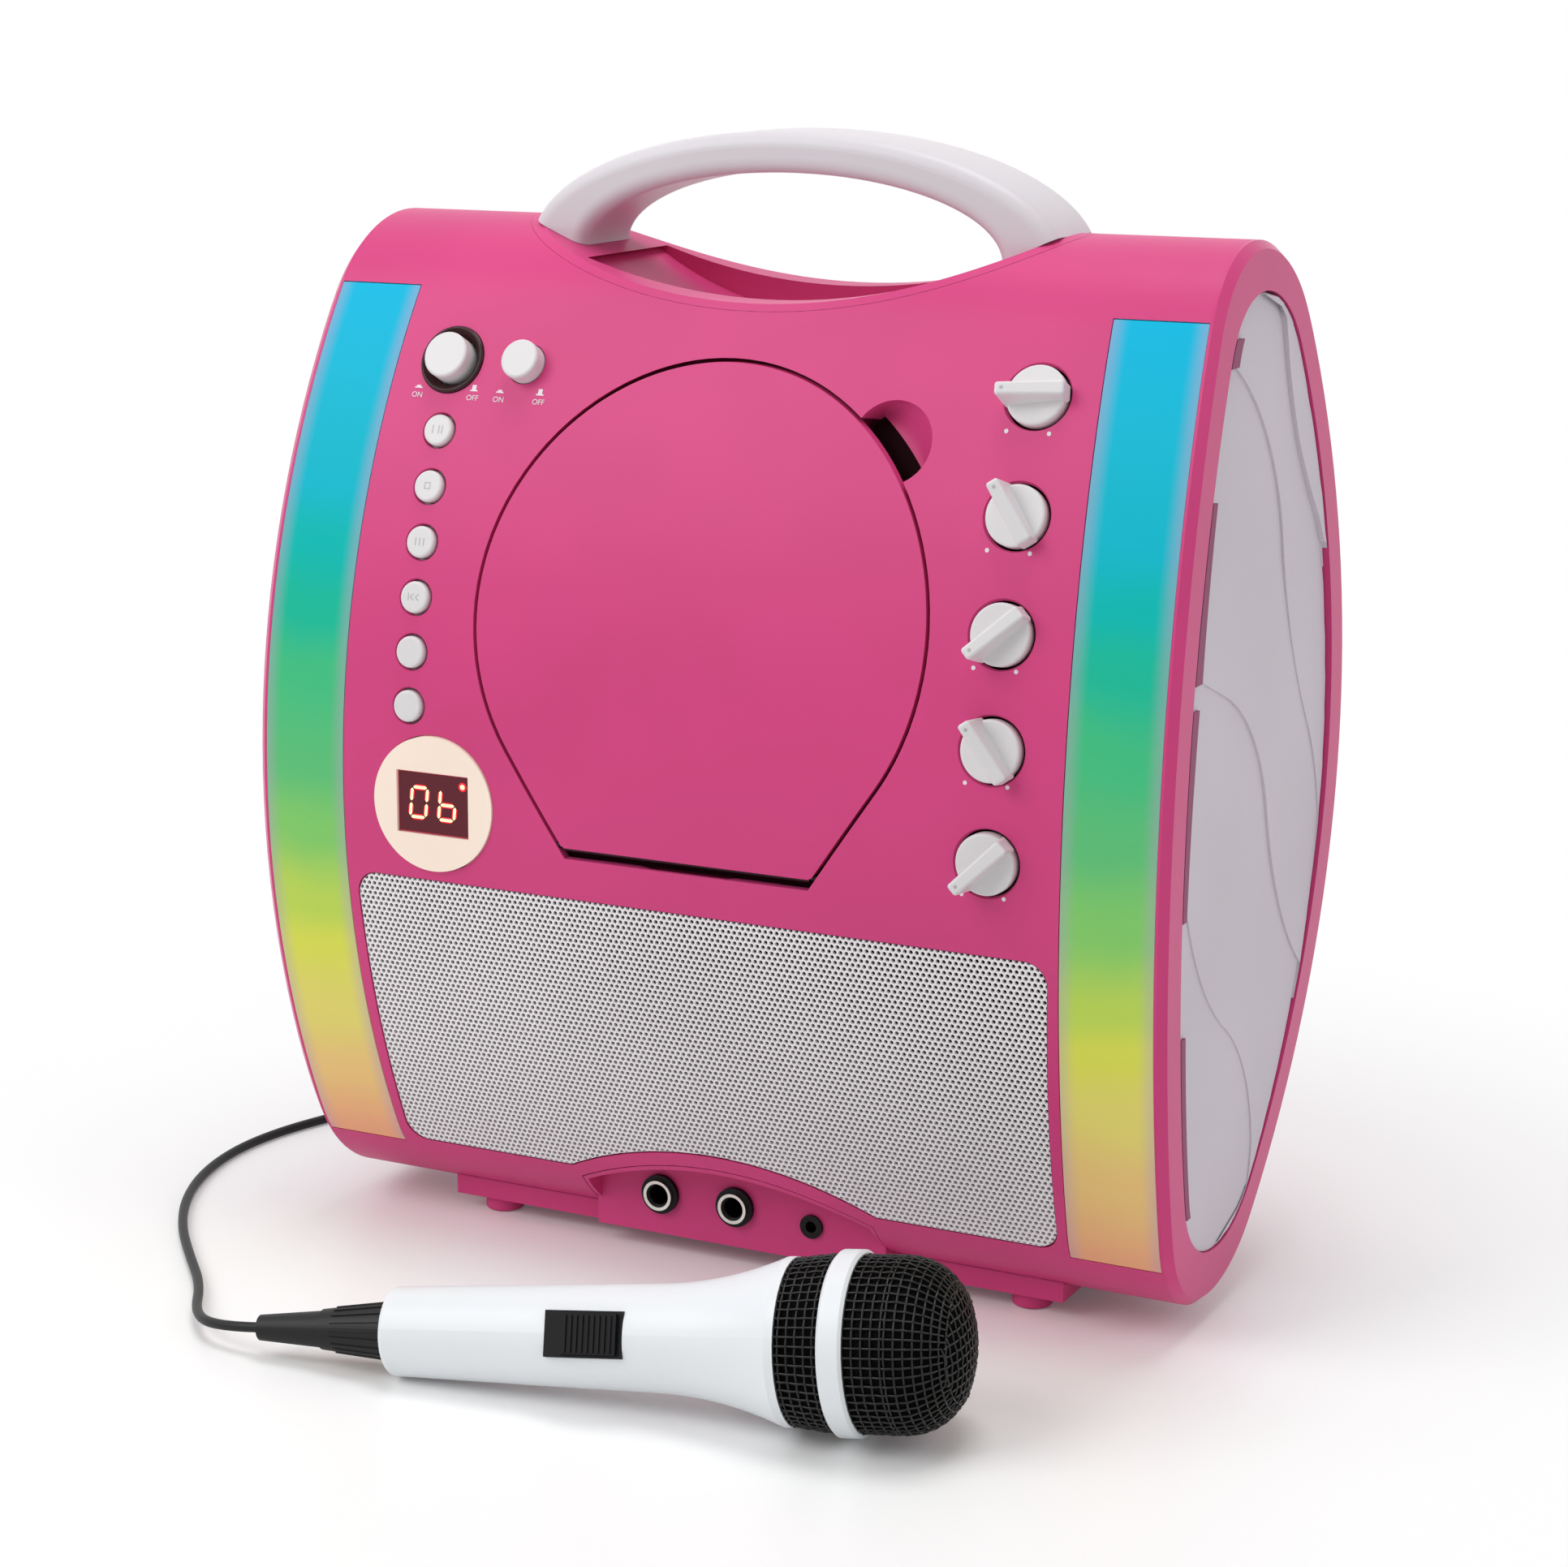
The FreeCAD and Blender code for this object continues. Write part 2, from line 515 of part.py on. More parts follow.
def dip_rod(name, grow):
    return rod_y(name, f"dip_curve + ({grow})", "0", "dip_rise + dip_curve", FRONT_FAR, REAR_FAR)


def grille_shape(name, grow):
    """Grille outline, wider at the top, with rounded corners and the arch taken out of its foot."""
    points = [(f"-(grille_half_bottom + ({grow}))", f"grille_bottom - ({grow})"),
              (f"grille_half_bottom + ({grow})", f"grille_bottom - ({grow})"),
              (f"grille_half_top + ({grow})", f"grille_top + ({grow})"),
              (f"-(grille_half_top + ({grow}))", f"grille_top + ({grow})")]
    sheet_body = prism(name + "_sheet", points, FRONT_FAR, INSIDE_Y, "grille_corner")
    over = arch(name + "_arch", f"arch_border - ({grow})", f"{FRONT_FAR} - overrun",
                f"{INSIDE_Y} + overrun")
    return cut(name, sheet_body, [over])


# Cabinet halves
block_all = common("cabinet_block", [lens("0"), end_drum("right", "frame_band"), end_drum("left",
        "frame_band")])
tube = cut("cabinet_tube", block_all, [lens("wall")])
front_space = box("front_space", (f"-({REACH})", REACH), (FRONT_FAR, "split_y"), ("-overrun",
        "cabinet_rise"))
rear_space = box("rear_space", (f"-({REACH})", REACH), ("split_y", REAR_FAR), ("-overrun",
        "cabinet_rise"))
dip_cut = dip_rod("dip_cut", "bezel")

SCREWS = [("-screw_low_x", "screw_low_rise"), ("screw_low_x", "screw_low_rise"),
          ("-screw_high_x", "screw_high_rise"), ("screw_high_x", "screw_high_rise")]
front_bosses = []
rear_bosses = []
pilot_holes = []
head_wells = []
case_screws = []
for number, (x, rise) in enumerate(SCREWS, 1):
    front_bosses.append(rod_y(f"front_boss_{number}", "boss_radius", x, rise, FRONT_FAR, "split_y"))
    rear_bosses.append(rod_y(f"rear_boss_{number}", "boss_radius", x, rise, "split_y", REAR_FAR))
    pilot_holes.append(rod_y(f"pilot_hole_{number}", "case_screw + shaft_gap", x, rise,
                             "split_y - thread_reach - overrun", "split_y + head_seat + overrun"))
    head_wells.append(rod_y(f"head_well_{number}", "case_screw_head + fit_gap", x, rise,
                            "split_y + head_seat", REAR_FAR))
    shank = rod_y(f"screw_shank_{number}", "case_screw", x, rise, "split_y - thread_reach",
                  "split_y + head_seat")
    head = rod_y(f"screw_head_{number}", "case_screw_head", x, rise, "split_y + head_seat",
                 "split_y + head_seat + head_thick")
    case_screws.append(fuse(f"case_screw_{number}", [shank, head]))
node("case_screws", group("case_screws", case_screws))

baffle = front_rod("baffle_seat", "speaker_radius + baffle_out", "0", "speaker_rise",
                   "-(wall + baffle_ring)", "0")
notch_sleeve = front_rod("notch_sleeve", "notch_radius + notch_wall", "notch_x", "notch_rise",
                         "-notch_depth", "0")
front_added = common("front_added", [fuse("front_lumps", front_bosses + [baffle, notch_sleeve]),
                                     lens("0")])
front_half = fuse("front_half", [common("front_shell", [tube, front_space]), front_added])

door_opening = door_shape("door_opening", "0", INSIDE_Y)
notch_hole = front_rod("notch_hole", "notch_radius", "notch_x", "notch_rise", "-2 * notch_depth",
                       "2 * overrun")
strip_right_window = strip_window("strip_right_window", "fit_gap", "-overrun")
strip_left_window = mirrored("strip_left_window", strip_right_window)
grille_pocket = cut("grille_pocket", grille_shape("grille_pocket_shape", "fit_gap"),
                    [lens("grille_recess")])
speaker_hole = front_rod("speaker_hole", "speaker_mouth", "0", "speaker_rise",
                         "-2 * (wall + baffle_ring)",
                         "2 * overrun")
jack_space = common("jack_space", [
    arch("jack_arch", "0", FRONT_FAR, "jack_back_y"),
    box("jack_box", ("-jack_half", "jack_half"), (FRONT_FAR, "jack_back_y"), ("-overrun",
            "arch_rise + overrun"))])
hinge_y = "(barrel_radius - front_stand)"
pin_holes = [rod_x("pin_hole_right", "pin_radius + shaft_gap", hinge_y, "hinge_rise", "barrel_half",
                   "pin_reach"),
             rod_x("pin_hole_left", "pin_radius + shaft_gap", hinge_y, "hinge_rise", "-pin_reach",
                   "-barrel_half")]

BUTTON_RISES = [f"(button_rise - {number} * button_pitch)" for number in range(len(BUTTON_NAMES))]
KNOB_RISES = [f"(knob_rise - {number} * knob_pitch)" for number in range(len(KNOB_NAMES))]
MIC_JACKS = ["mic_jack_x", "(mic_jack_x + mic_jack_pitch)"]


def flared_hole(name, radius, flare, x, rise):
    """Hole through the front wall that opens a little towards the front."""
    profile = [("0", "-2 * wall"), (radius, "-2 * wall"), (radius, f"-{flare}"),
               (f"{radius} + {flare}", f"overrun - {flare}"), ("0", f"overrun - {flare}")]
    return on_front(turned(name, profile), x, rise)


holes = [flared_hole(name + "_hole", "button_radius + button_gap", "button_flare", "button_x", rise)
         for name, rise in zip(BUTTON_NAMES, BUTTON_RISES)]
holes.append(front_rod("power_hole", "ring_radius + seat_gap", "power_x", "power_rise", "-2 * wall",
                       "overrun"))
holes.append(front_rod("lights_hole", "lights_radius + fit_gap", "lights_x", "power_rise", "-2 * wall",
                       "overrun"))
for name, rise in zip(KNOB_NAMES, KNOB_RISES):
    holes.append(flared_hole(name + "_hole", "knob_hole", "knob_flare", "knob_x", rise))
for number, x in enumerate(MIC_JACKS, 1):
    holes.append(rod_y(f"barrel_room_{number}", "jack_barrel + fit_gap", x, "jack_rise",
                       "jack_back_y - overrun", "jack_face_y + jack_depth + fit_gap"))
holes.append(rod_y("aux_room", "aux_radius", "aux_x", "aux_rise", "jack_back_y - overrun",
                   "jack_face_y + aux_depth + fit_gap"))
holes.append(front_rod("display_hole", "display_radius + fit_gap", "display_x", "display_rise",
                       "-2 * wall", "overrun"))

front_cuts = [door_opening, notch_hole, strip_right_window, strip_left_window, grille_pocket,
              speaker_hole,
              jack_space, dip_cut] + pin_holes + holes + pilot_holes
node("front_cabinet", cut("front_cabinet", front_half, front_cuts))

# Rear cabinet with screw tubes, board posts and the terminal opening
MAIN_POSTS = [(f"{side}(main_half - main_post_inset)", rise) for side in ("", "-")
              for rise in ("main_bottom + main_post_inset", "main_top - main_post_inset")]
main_posts = [rod_y(f"main_post_{number}", "main_post", x, rise, "main_y + main_thick", REAR_FAR)
              for number, (x, rise) in enumerate(MAIN_POSTS, 1)]
rear_added = common("rear_added", [fuse("rear_lumps", rear_bosses + main_posts), lens("0")])
rear_half = fuse("rear_half", [common("rear_shell", [tube, rear_space]), rear_added])


def terminal_shape(name, grow):
    return box(name, (f"-(terminal_half + ({grow}))", f"terminal_half + ({grow})"), ("split_y", REAR_FAR),
               (f"terminal_bottom - ({grow})", f"terminal_top + ({grow})"))


terminal_opening = terminal_shape("terminal_opening", "fit_gap")
node("rear_cabinet", cut("rear_cabinet", rear_half, [terminal_opening,
                                                     dip_cut] + pilot_holes + head_wells))

# Terminal plate and its sockets
SOCKETS = [f"(socket_x + {number} * socket_pitch)" for number in range(3)]
socket_holes = [on_rear(rod(f"socket_hole_{number}", "socket_radius + fit_gap", "4 * wall"), x,
                        "socket_rise", "-2 * wall")
                for number, x in enumerate(SOCKETS, 1)]
inlet_hole = on_rear(rod("inlet_hole", "inlet_radius + fit_gap", "4 * wall"), "inlet_x", "socket_rise",
                     "-2 * wall")
terminal_blank = common("terminal_blank", [terminal_shape("terminal_outline", "0"), tube])
node("terminal_plate", cut("terminal_plate", terminal_blank, socket_holes + [inlet_hole]))
sockets = []
for number, x in enumerate(SOCKETS, 1):
    profile = [("0", "-socket_depth"), ("socket_radius", "-socket_depth"), ("socket_radius", "fit_gap"),
               ("socket_flange", "fit_gap"), ("socket_flange", "socket_flange_thick + fit_gap"),
               ("socket_radius", "socket_flange_thick + fit_gap"), ("socket_radius", "socket_reach"),
               ("socket_bore", "socket_reach"), ("socket_bore", "socket_reach - socket_bore_depth"),
               ("0", "socket_reach - socket_bore_depth")]
    sockets.append(on_rear(turned(f"video_socket_{number}", profile), x, "socket_rise"))
node("output_sockets", group("output_sockets", sockets))
profile = [("0", "-inlet_depth"), ("inlet_radius", "-inlet_depth"), ("inlet_radius", "inlet_proud"),
           ("inlet_bore", "inlet_proud"), ("inlet_bore", "inlet_proud - inlet_bore_depth"),
           ("inlet_pin", "inlet_proud - inlet_bore_depth"), ("inlet_pin", "-inlet_proud"), ("0",
                   "-inlet_proud")]
node("power_inlet", on_rear(turned("power_inlet", profile), "inlet_x", "socket_rise"))

# Main board on the rear cabinet's posts
board = box("main_sheet", ("-main_half", "main_half"), ("main_y", "main_y + main_thick"), ("main_bottom",
        "main_top"))
cooler = box("cooler", ("-sink_width / 2", "sink_width / 2"), ("main_y - sink_depth", "main_y"),
             ("main_top - sink_height - main_post_inset", "main_top - main_post_inset"))
cans = [rod_y(f"can_{number}", "can_radius", f"{side}3 * can_radius", "main_bottom + 4 * can_radius",
              "main_y - can_depth", "main_y") for number, side in enumerate(("", "-"), 1)]
node("main_board", fuse("main_board", [board, cooler] + cans))

# End frames and white side panels
panel_tips = {"crown": "panel_crown_round", "toe": "panel_toe_round"}
frame_face = common("frame_face", [lens("0"), end_drum("right", "0")])
frame_slab = cut("frame_slab", frame_face, [end_drum("right", "frame_band")])
collar_face = common("collar_face", [lens("wall + seat_gap"), end_drum("right", "seat_gap")])
collar_slab = cut("collar_slab", collar_face, [end_drum("right", "frame_band + frame_collar")])
right_side = box("right_side", ("0", REACH), (FRONT_FAR, REAR_FAR), ("-overrun", "cabinet_rise"))
frame_ring = cut("frame_ring", common("frame_right_half", [fuse("frame_solid", [frame_slab, collar_slab]),
                                                           right_side]),
                 [lens("panel_margin", **panel_tips)])
doc.recompute()
bevel_edges = []
for number, edge in enumerate(frame_ring.Shape.Edges, 1):
    on_outside = all(abs(math.hypot(point.x - amount("half_width - end_curve"),
                                    point.z - amount("end_peak_rise"))
                         - amount("end_curve")) < amount("seat_gap") / 2 for point in edge.discretize(5))
    middle = edge.discretize(3)[1]
    at_rim = frame_slab.Shape.distToShape(Part.Vertex(middle))[0] < amount("seat_gap") / 2
    inner = lens("panel_margin",
                 **panel_tips).Shape.distToShape(Part.Vertex(middle))[0] < amount("seat_gap")
    if on_outside and at_rim and not inner:
        bevel_edges.append(number)
bevel = doc.addObject("Part::Chamfer", "end_frame_right")
bevel.Base = frame_ring
bevel.Edges = [(number, amount("frame_bevel"), amount("frame_bevel")) for number in bevel_edges]
node("end_frame_right", bevel)
node("end_frame_left", mirrored("end_frame_left", bevel))

panel_tips_inner = {"crown": "panel_crown_round - fit_gap", "toe": "panel_toe_round - fit_gap"}
panel_core = lens("panel_margin + fit_gap", **panel_tips_inner)
layers = [common("panel_base", [panel_core, end_drum("right", "panel_sink"), right_side])]


def wave_slab(name, shares):
    """Outline in depth and height, as shares of the cabinet's height, carried to the right."""
    points = [tuple(f"{share} * cabinet_rise" for share in point[:3]) + point[3:] for point in shares]
    body = doc.addObject("PartDesign::Body", name)
    sketch = outline(body, "XY_Plane", points)
    pad = body.newObject("PartDesign::Pad", name + "_pad")
    pad.Profile = sketch
    bind(pad, {"Length": REACH})
    return place(body, "0", "0", "0", FreeCAD.Rotation(V(1, 1, 1), 120))


for number, shares in enumerate(WAVE_SHARES, 1):
    layers.append(common(f"panel_wave_{number}", [
        panel_core, end_drum("right", f"panel_sink - {number} * wave_step"),
        wave_slab(f"wave_{number}", shares)]))
layers.append(common("panel_sliver", [panel_core, end_drum("right", "panel_sink - wave_step"),
                                      wave_slab("sliver", SLIVER_SHARES)]))
panel = cut("side_panel_right", fuse("panel_layers", layers), [end_drum("right",
        "panel_sink + panel_thick")])
node("side_panel_right", panel)
node("side_panel_left", mirrored("side_panel_left", panel))

# Handle well under the handle, and the handle arch seated in it
well_plate = cut("well_plate", common("well_blank", [lens("0"), dip_rod("well_outside",
        "bezel - seat_gap")]),
                 [dip_rod("well_inside", "0")])


def bowl(name, grow):
    low = f"dip_rise - well_drop - ({grow})"
    scoop = rod_y(name + "_round", f"well_curve + ({grow})", "0", f"dip_rise - well_drop + well_curve",
                  f"well_front_y - ({grow})", f"well_rear_y + ({grow})")
    under = box(name + "_under", (f"-({REACH})", REACH), (f"well_front_y - ({grow})",
                                                          f"well_rear_y + ({grow})"),
                (low, "dip_rise + well_drop"))
    return common(name, [scoop, under])


bowl_shell = common("bowl_shell", [bowl("bowl_solid", "well_wall"), lens("wall + seat_gap")])
bowl_outside = cut("bowl_outside", bowl_shell, [dip_rod("bowl_trim", "0")])
node("handle_well", cut("handle_well", fuse("well_solid", [well_plate, bowl_outside]), [bowl("bowl_space",
        "0")]))


def half_oval(name, half, top, depth, start):
    """Upright oval disc that gives one face of the handle arch."""
    oval = bind(doc.addObject("Part::Ellipse", name + "_oval"), {"MajorRadius": half, "MinorRadius": top})
    place(oval, "0", start, "handle_spring", FreeCAD.Rotation(AXIS_X, -90))
    made = doc.addObject("Part::Extrusion", name)
    made.Base = oval
    made.DirMode = "Custom"
    made.Dir = AXIS_Y
    made.Solid = True
    return bind(made, {"LengthFwd": depth})


outer_oval = half_oval("handle_outer", "handle_half_span", "handle_rise - handle_spring", "handle_depth",
                       "handle_front_y")
inner_oval = half_oval("handle_inner", "handle_half_span - leg_thick",
                       "handle_rise - handle_spring - grip_thick",
                       "handle_depth + 2 * overrun", "handle_front_y - overrun")
above_spring = box("above_spring", (f"-({REACH})", REACH), (FRONT_FAR, REAR_FAR),
                   ("handle_spring", "handle_rise + overrun"))
handle_band = common("handle_band", [cut("handle_ring", outer_oval, [inner_oval]), above_spring])
doc.recompute()
band_edges = [number for number, edge in enumerate(handle_band.Shape.Edges, 1)
              if edge.BoundBox.YLength < amount("seat_gap")
              and edge.BoundBox.XLength > amount("handle_half_span")]
handle_rounds = doc.addObject("Part::Fillet", "handle_rounds")
handle_rounds.Base = handle_band
handle_rounds.Edges = [(number, amount("handle_round"), amount("handle_round")) for number in band_edges]
handle = common("handle", [handle_rounds, dip_rod("handle_seat", "-seat_gap")])
node("handle", handle)

# Light strips and the lamp boards behind them
strip_block = common("strip_block", [strip_window("strip_outline", "0", "frame_band + seat_gap"),
                                     lens("0")])
strip = cut("light_strip_right", strip_block, [lens("strip_thick")])
node("light_strip_right", strip)
node("light_strip_left", mirrored("light_strip_left", strip))
lamp_space = box("lamp_space", ("light_board_x", "light_board_end"), (FRONT_FAR, "split_y - wall"),
                 ("light_board_bottom", "light_board_top"))
rib_space = box("rib_space", ("light_board_x", "light_board_x + light_rib"), (FRONT_FAR,
        "split_y - wall"),
                ("light_board_bottom", "light_board_top"))
BOARD_BACK = "light_depth + light_board_thick"
lamp_sheet = cut("lamp_sheet", common("lamp_sheet_block", [lens("light_depth"), lamp_space]),
                 [lens(BOARD_BACK)])
lamp_rib = cut("lamp_rib", common("lamp_rib_block", [lens("wall + seat_gap"), rib_space]),
               [lens(BOARD_BACK)])
lamps = []
for number in range(LAMPS):
    rise = f"(light_board_bottom + {number + 1} * lamp_pitch - lamp_size)"
    lamp_x = "(light_board_x + light_board_end) / 2"
    lamps.append(front_box(f"lamp_{number}", (f"{lamp_x} - lamp_size / 2", f"{lamp_x} + lamp_size / 2"),
                           ("-lamp_size / 2", "lamp_size / 2"),
                           (f"light_depth - lamp_size / 3", f"light_depth + light_board_thick / 2"),
                           rise))
light_board = fuse("light_board_right", [lamp_sheet, lamp_rib] + lamps)
node("light_boards", group("light_boards", [light_board, mirrored("light_board_left", light_board)]))

# Disc door with its hinge barrel and pins
door_plate = cut("door_plate", common("door_block", [door_shape("door_outline", "door_gap", INSIDE_Y),
                                                     lens("0")]),
                 [lens("door_thick"), box("below_hinge", (f"-({REACH})", REACH), (FRONT_FAR, "split_y"),
                                          ("-overrun", "hinge_rise"))])
barrel = rod_x("door_barrel", "barrel_radius", hinge_y, "hinge_rise", "-barrel_half", "barrel_half")
door_sockets = [rod_x("door_socket_right", "pin_radius", hinge_y, "hinge_rise", "barrel_half - pin_grip",
                      "pin_reach"),
                rod_x("door_socket_left", "pin_radius", hinge_y, "hinge_rise", "-pin_reach",
                      "pin_grip - barrel_half")]
node("disc_door", cut("disc_door", fuse("door_solid", [door_plate, barrel]), door_sockets))
door_pins = [rod_x("door_pin_right", "pin_radius", hinge_y, "hinge_rise", "barrel_half - pin_grip",
                   "pin_reach - fit_gap"),
             rod_x("door_pin_left", "pin_radius", hinge_y, "hinge_rise", "fit_gap - pin_reach",
                   "pin_grip - barrel_half")]
node("door_hinge_pins", group("door_hinge_pins", door_pins))

# Disc well behind the door
FLOOR_BACK = "-(recess_depth + deck_floor)"
deck_plug = common("deck_plug", [
    on_deck(rod("deck_round", "deck_radius", "deck_radius"), "0", "0", FLOOR_BACK),
    lens("wall + seat_gap")])
door_space = cut("door_space", door_shape("door_space_shape", "-fit_gap", "split_y"),
                 [lens("wall + door_clear")])
recess = on_deck(rod("disc_recess_round", "disc_recess", "deck_radius"), "0", "0", "-recess_depth")
spindle_well = on_deck(rod("spindle_well", "spindle_hole", "deck_radius"), "0", "0",
                       f"{FLOOR_BACK} - overrun")
slot = deck_box("pickup_slot", ("slot_start", "slot_end"), ("-slot_half", "slot_half"),
                (f"{FLOOR_BACK} - overrun", "0"))
notch_room = front_rod("notch_room", "notch_radius + notch_wall + seat_gap", "notch_x", "notch_rise",
                       "-(notch_depth + seat_gap)", "2 * overrun")
finger_room = front_rod("finger_room", "notch_radius", "notch_x", "notch_rise",
                        "-(notch_depth + notch_wall)",
                        "2 * overrun")
posts = []
for name, start in (("inner_post", "post_start"), ("outer_post", "post_end")):
    posts.append(deck_box(name, (start, f"{start} + post_thick"), ("-pickup_down", "pickup_up"),
                          (f"{FLOOR_BACK} - post_depth", FLOOR_BACK)))


def deck_rod(name, radius, v, start, end):
    made = rod(name, radius, f"({end}) - ({start})")
    return on_deck(made, start, v, "-rod_depth", FreeCAD.Rotation(AXIS_Y, 90))


ROD_ENDS = ("post_start", "post_end + post_thick")
rod_holes = [deck_rod(f"rod_hole_{side}", "rod_radius", v, f"{ROD_ENDS[0]} - overrun",
                      f"{ROD_ENDS[1]} + overrun")
             for side, v in (("high", "rod_spread"), ("low", "-rod_spread"))]
screw_hole = deck_rod("screw_hole", "screw_radius + shaft_gap", "-screw_v", f"{ROD_ENDS[0]} - overrun",
                      f"{ROD_ENDS[1]} + overrun")
deck_body = cut("deck_body", deck_plug, [door_space, recess, spindle_well, slot, notch_room, finger_room])
node("disc_well", cut("disc_well", fuse("deck_with_posts", [deck_body] + posts),
                      rod_holes + [screw_hole]))

# Turntable, spindle motor, pickup and its sled drive
profile = [("0", "-spindle_reach"), ("spindle_radius", "-spindle_reach"), ("spindle_radius",
        "-hub_thick"),
           ("hub_radius", "-hub_thick"), ("hub_radius", "0"), ("hub_boss", "0"), ("hub_boss",
                   "hub_boss_rise"),
           ("hub_boss_top", "hub_nose_rise"), ("0", "hub_nose_rise")]
node("turntable", on_deck(turned("turntable", profile), "0", "0", "0"))
motor_top = f"({FLOOR_BACK} - seat_gap)"
profile = [("spindle_radius + shaft_gap", motor_top), ("motor_radius", motor_top),
           ("motor_radius", f"{motor_top} - motor_depth"), ("0", f"{motor_top} - motor_depth"),
           ("0", "-(spindle_reach + fit_gap)"), ("spindle_radius + shaft_gap",
                                                 "-(spindle_reach + fit_gap)")]
spindle_motor = on_deck(turned("spindle_motor", profile), "0", "0", "0")
guide_rods = [deck_rod(f"guide_rod_{side}", "rod_radius", v, *ROD_ENDS)
              for side, v in (("high", "rod_spread"), ("low", "-rod_spread"))]
node("guide_rods", group("guide_rods", guide_rods))
carriage = deck_box("carriage", ("pickup_start - pickup_half", "pickup_start + pickup_half"),
                    ("-pickup_down", "pickup_up"), ("-(pickup_top + pickup_depth)", "-pickup_top"))
turret = on_deck(rod("lens_turret", "turret_radius", "pickup_top - recess_depth - turret_gap"),
                 "pickup_start", "0", "-pickup_top")
slide_holes = [deck_rod(f"slide_hole_{side}", "rod_radius + shaft_gap", v, "0", "2 * pickup_start")
               for side, v in (("high", "rod_spread"), ("low", "-rod_spread"))]
nut_hole = deck_rod("nut_hole", "screw_radius + move_gap", "-screw_v", "0", "2 * pickup_start")
node("optical_pickup", cut("optical_pickup", fuse("pickup_solid", [carriage, turret]),
                           slide_holes + [nut_hole]))
SLED_END = "post_end + post_thick + seat_gap"
node("sled_screw", deck_rod("sled_screw", "screw_radius", "-screw_v", "post_start",
                            f"{SLED_END} + sled_motor_depth / 2"))
sled_body = deck_rod("sled_case", "sled_motor_radius", "-screw_v", SLED_END,
                     f"{SLED_END} + sled_motor_depth")
sled_bore = deck_rod("sled_bore", "screw_radius + shaft_gap", "-screw_v", f"{SLED_END} - overrun",
                     f"{SLED_END} + sled_motor_depth / 2 + fit_gap")
node("drive_motors", group("drive_motors", [spindle_motor, cut("sled_motor", sled_body, [sled_bore])]))

# Push buttons, their switches and the left control board
FLANGE_TOP = "(wall + move_gap)"
for name, rise in zip(BUTTON_NAMES, BUTTON_RISES):
    profile = [("0", f"-(wall + button_stem)"), ("stem_radius", f"-(wall + button_stem)"),
               ("stem_radius", f"-({FLANGE_TOP} + flange_thick)"),
               ("button_radius + flange_out", f"-({FLANGE_TOP} + flange_thick)"),
               ("button_radius + flange_out", f"-{FLANGE_TOP}"), ("button_radius", f"-{FLANGE_TOP}"),
               ("button_radius", "button_proud - button_edge"),
               ("button_radius - button_edge", "button_proud", "button_edge", 1), ("0", "button_proud")]
    node(name, on_front(turned(name, profile), "button_x", rise))


def latch_button(name, radius, x, top):
    """Large latching button with a flange below the given depth."""
    profile = [("0", "-(wall + latch_stem)"), ("stem_radius", "-(wall + latch_stem)"),
               ("stem_radius", f"-({top} + flange_thick)"), (f"{radius} + flange_out",
                       f"-({top} + flange_thick)"),
               (f"{radius} + flange_out", f"-{top}"), (radius, f"-{top}"), (radius,
                       "power_proud - button_edge"),
               (f"{radius} - button_edge", "power_proud", "button_edge", 1), ("0", "power_proud")]
    return node(name, on_front(turned(name, profile), x, "power_rise"))


latch_button("power_button", "power_radius", "power_x", "(wall + fit_gap + ring_back + move_gap)")
latch_button("lights_button", "lights_radius", "lights_x", FLANGE_TOP)
profile = [("power_radius + fit_gap", "-(wall + fit_gap + ring_back)"),
           ("ring_radius + ring_flange", "-(wall + fit_gap + ring_back)"),
           ("ring_radius + ring_flange", "-(wall + fit_gap)"), ("ring_radius", "-(wall + fit_gap)"),
           ("ring_radius", "0"), ("ring_radius - ring_lip", "ring_lip", "ring_lip", 1),
           ("power_radius + fit_gap", "-wall / 2")]
node("power_ring", on_front(turned("power_ring", profile), "power_x", "power_rise"))

switches = []
for name, rise in zip(BUTTON_NAMES, BUTTON_RISES):
    switches.append(front_rod(name + "_switch", "switch_radius", "button_x", rise, "-switch_foot",
                              "-(wall + button_stem + button_travel + move_gap)"))
for name, x in (("power", "power_x"), ("lights", "lights_x")):
    switches.append(front_rod(name + "_switch", "switch_radius", x, "power_rise", "-switch_foot",
                              "-(wall + latch_stem + latch_travel + move_gap)"))
standoffs = [front_rod(f"standoff_{number}", "standoff_radius", "standoff_x", rise, "-switch_foot",
                       "-(wall + seat_gap)") for number, rise in enumerate(("standoff_high",
                               "standoff_low"), 1)]
DEPTHS = ("board_depth", "board_depth + board_thick")
column = front_box("button_board", ("board_left_x", "board_inner_x"), ("-board_low", "board_high"),
                   DEPTHS, "board_rise")
head_board = front_box("button_board_head", ("board_head_x", "board_head_end"), ("board_head_low",
        "board_high"),
                       DEPTHS, "board_rise")
button_board = fuse("button_board_all", [column, head_board] + switches + standoffs)

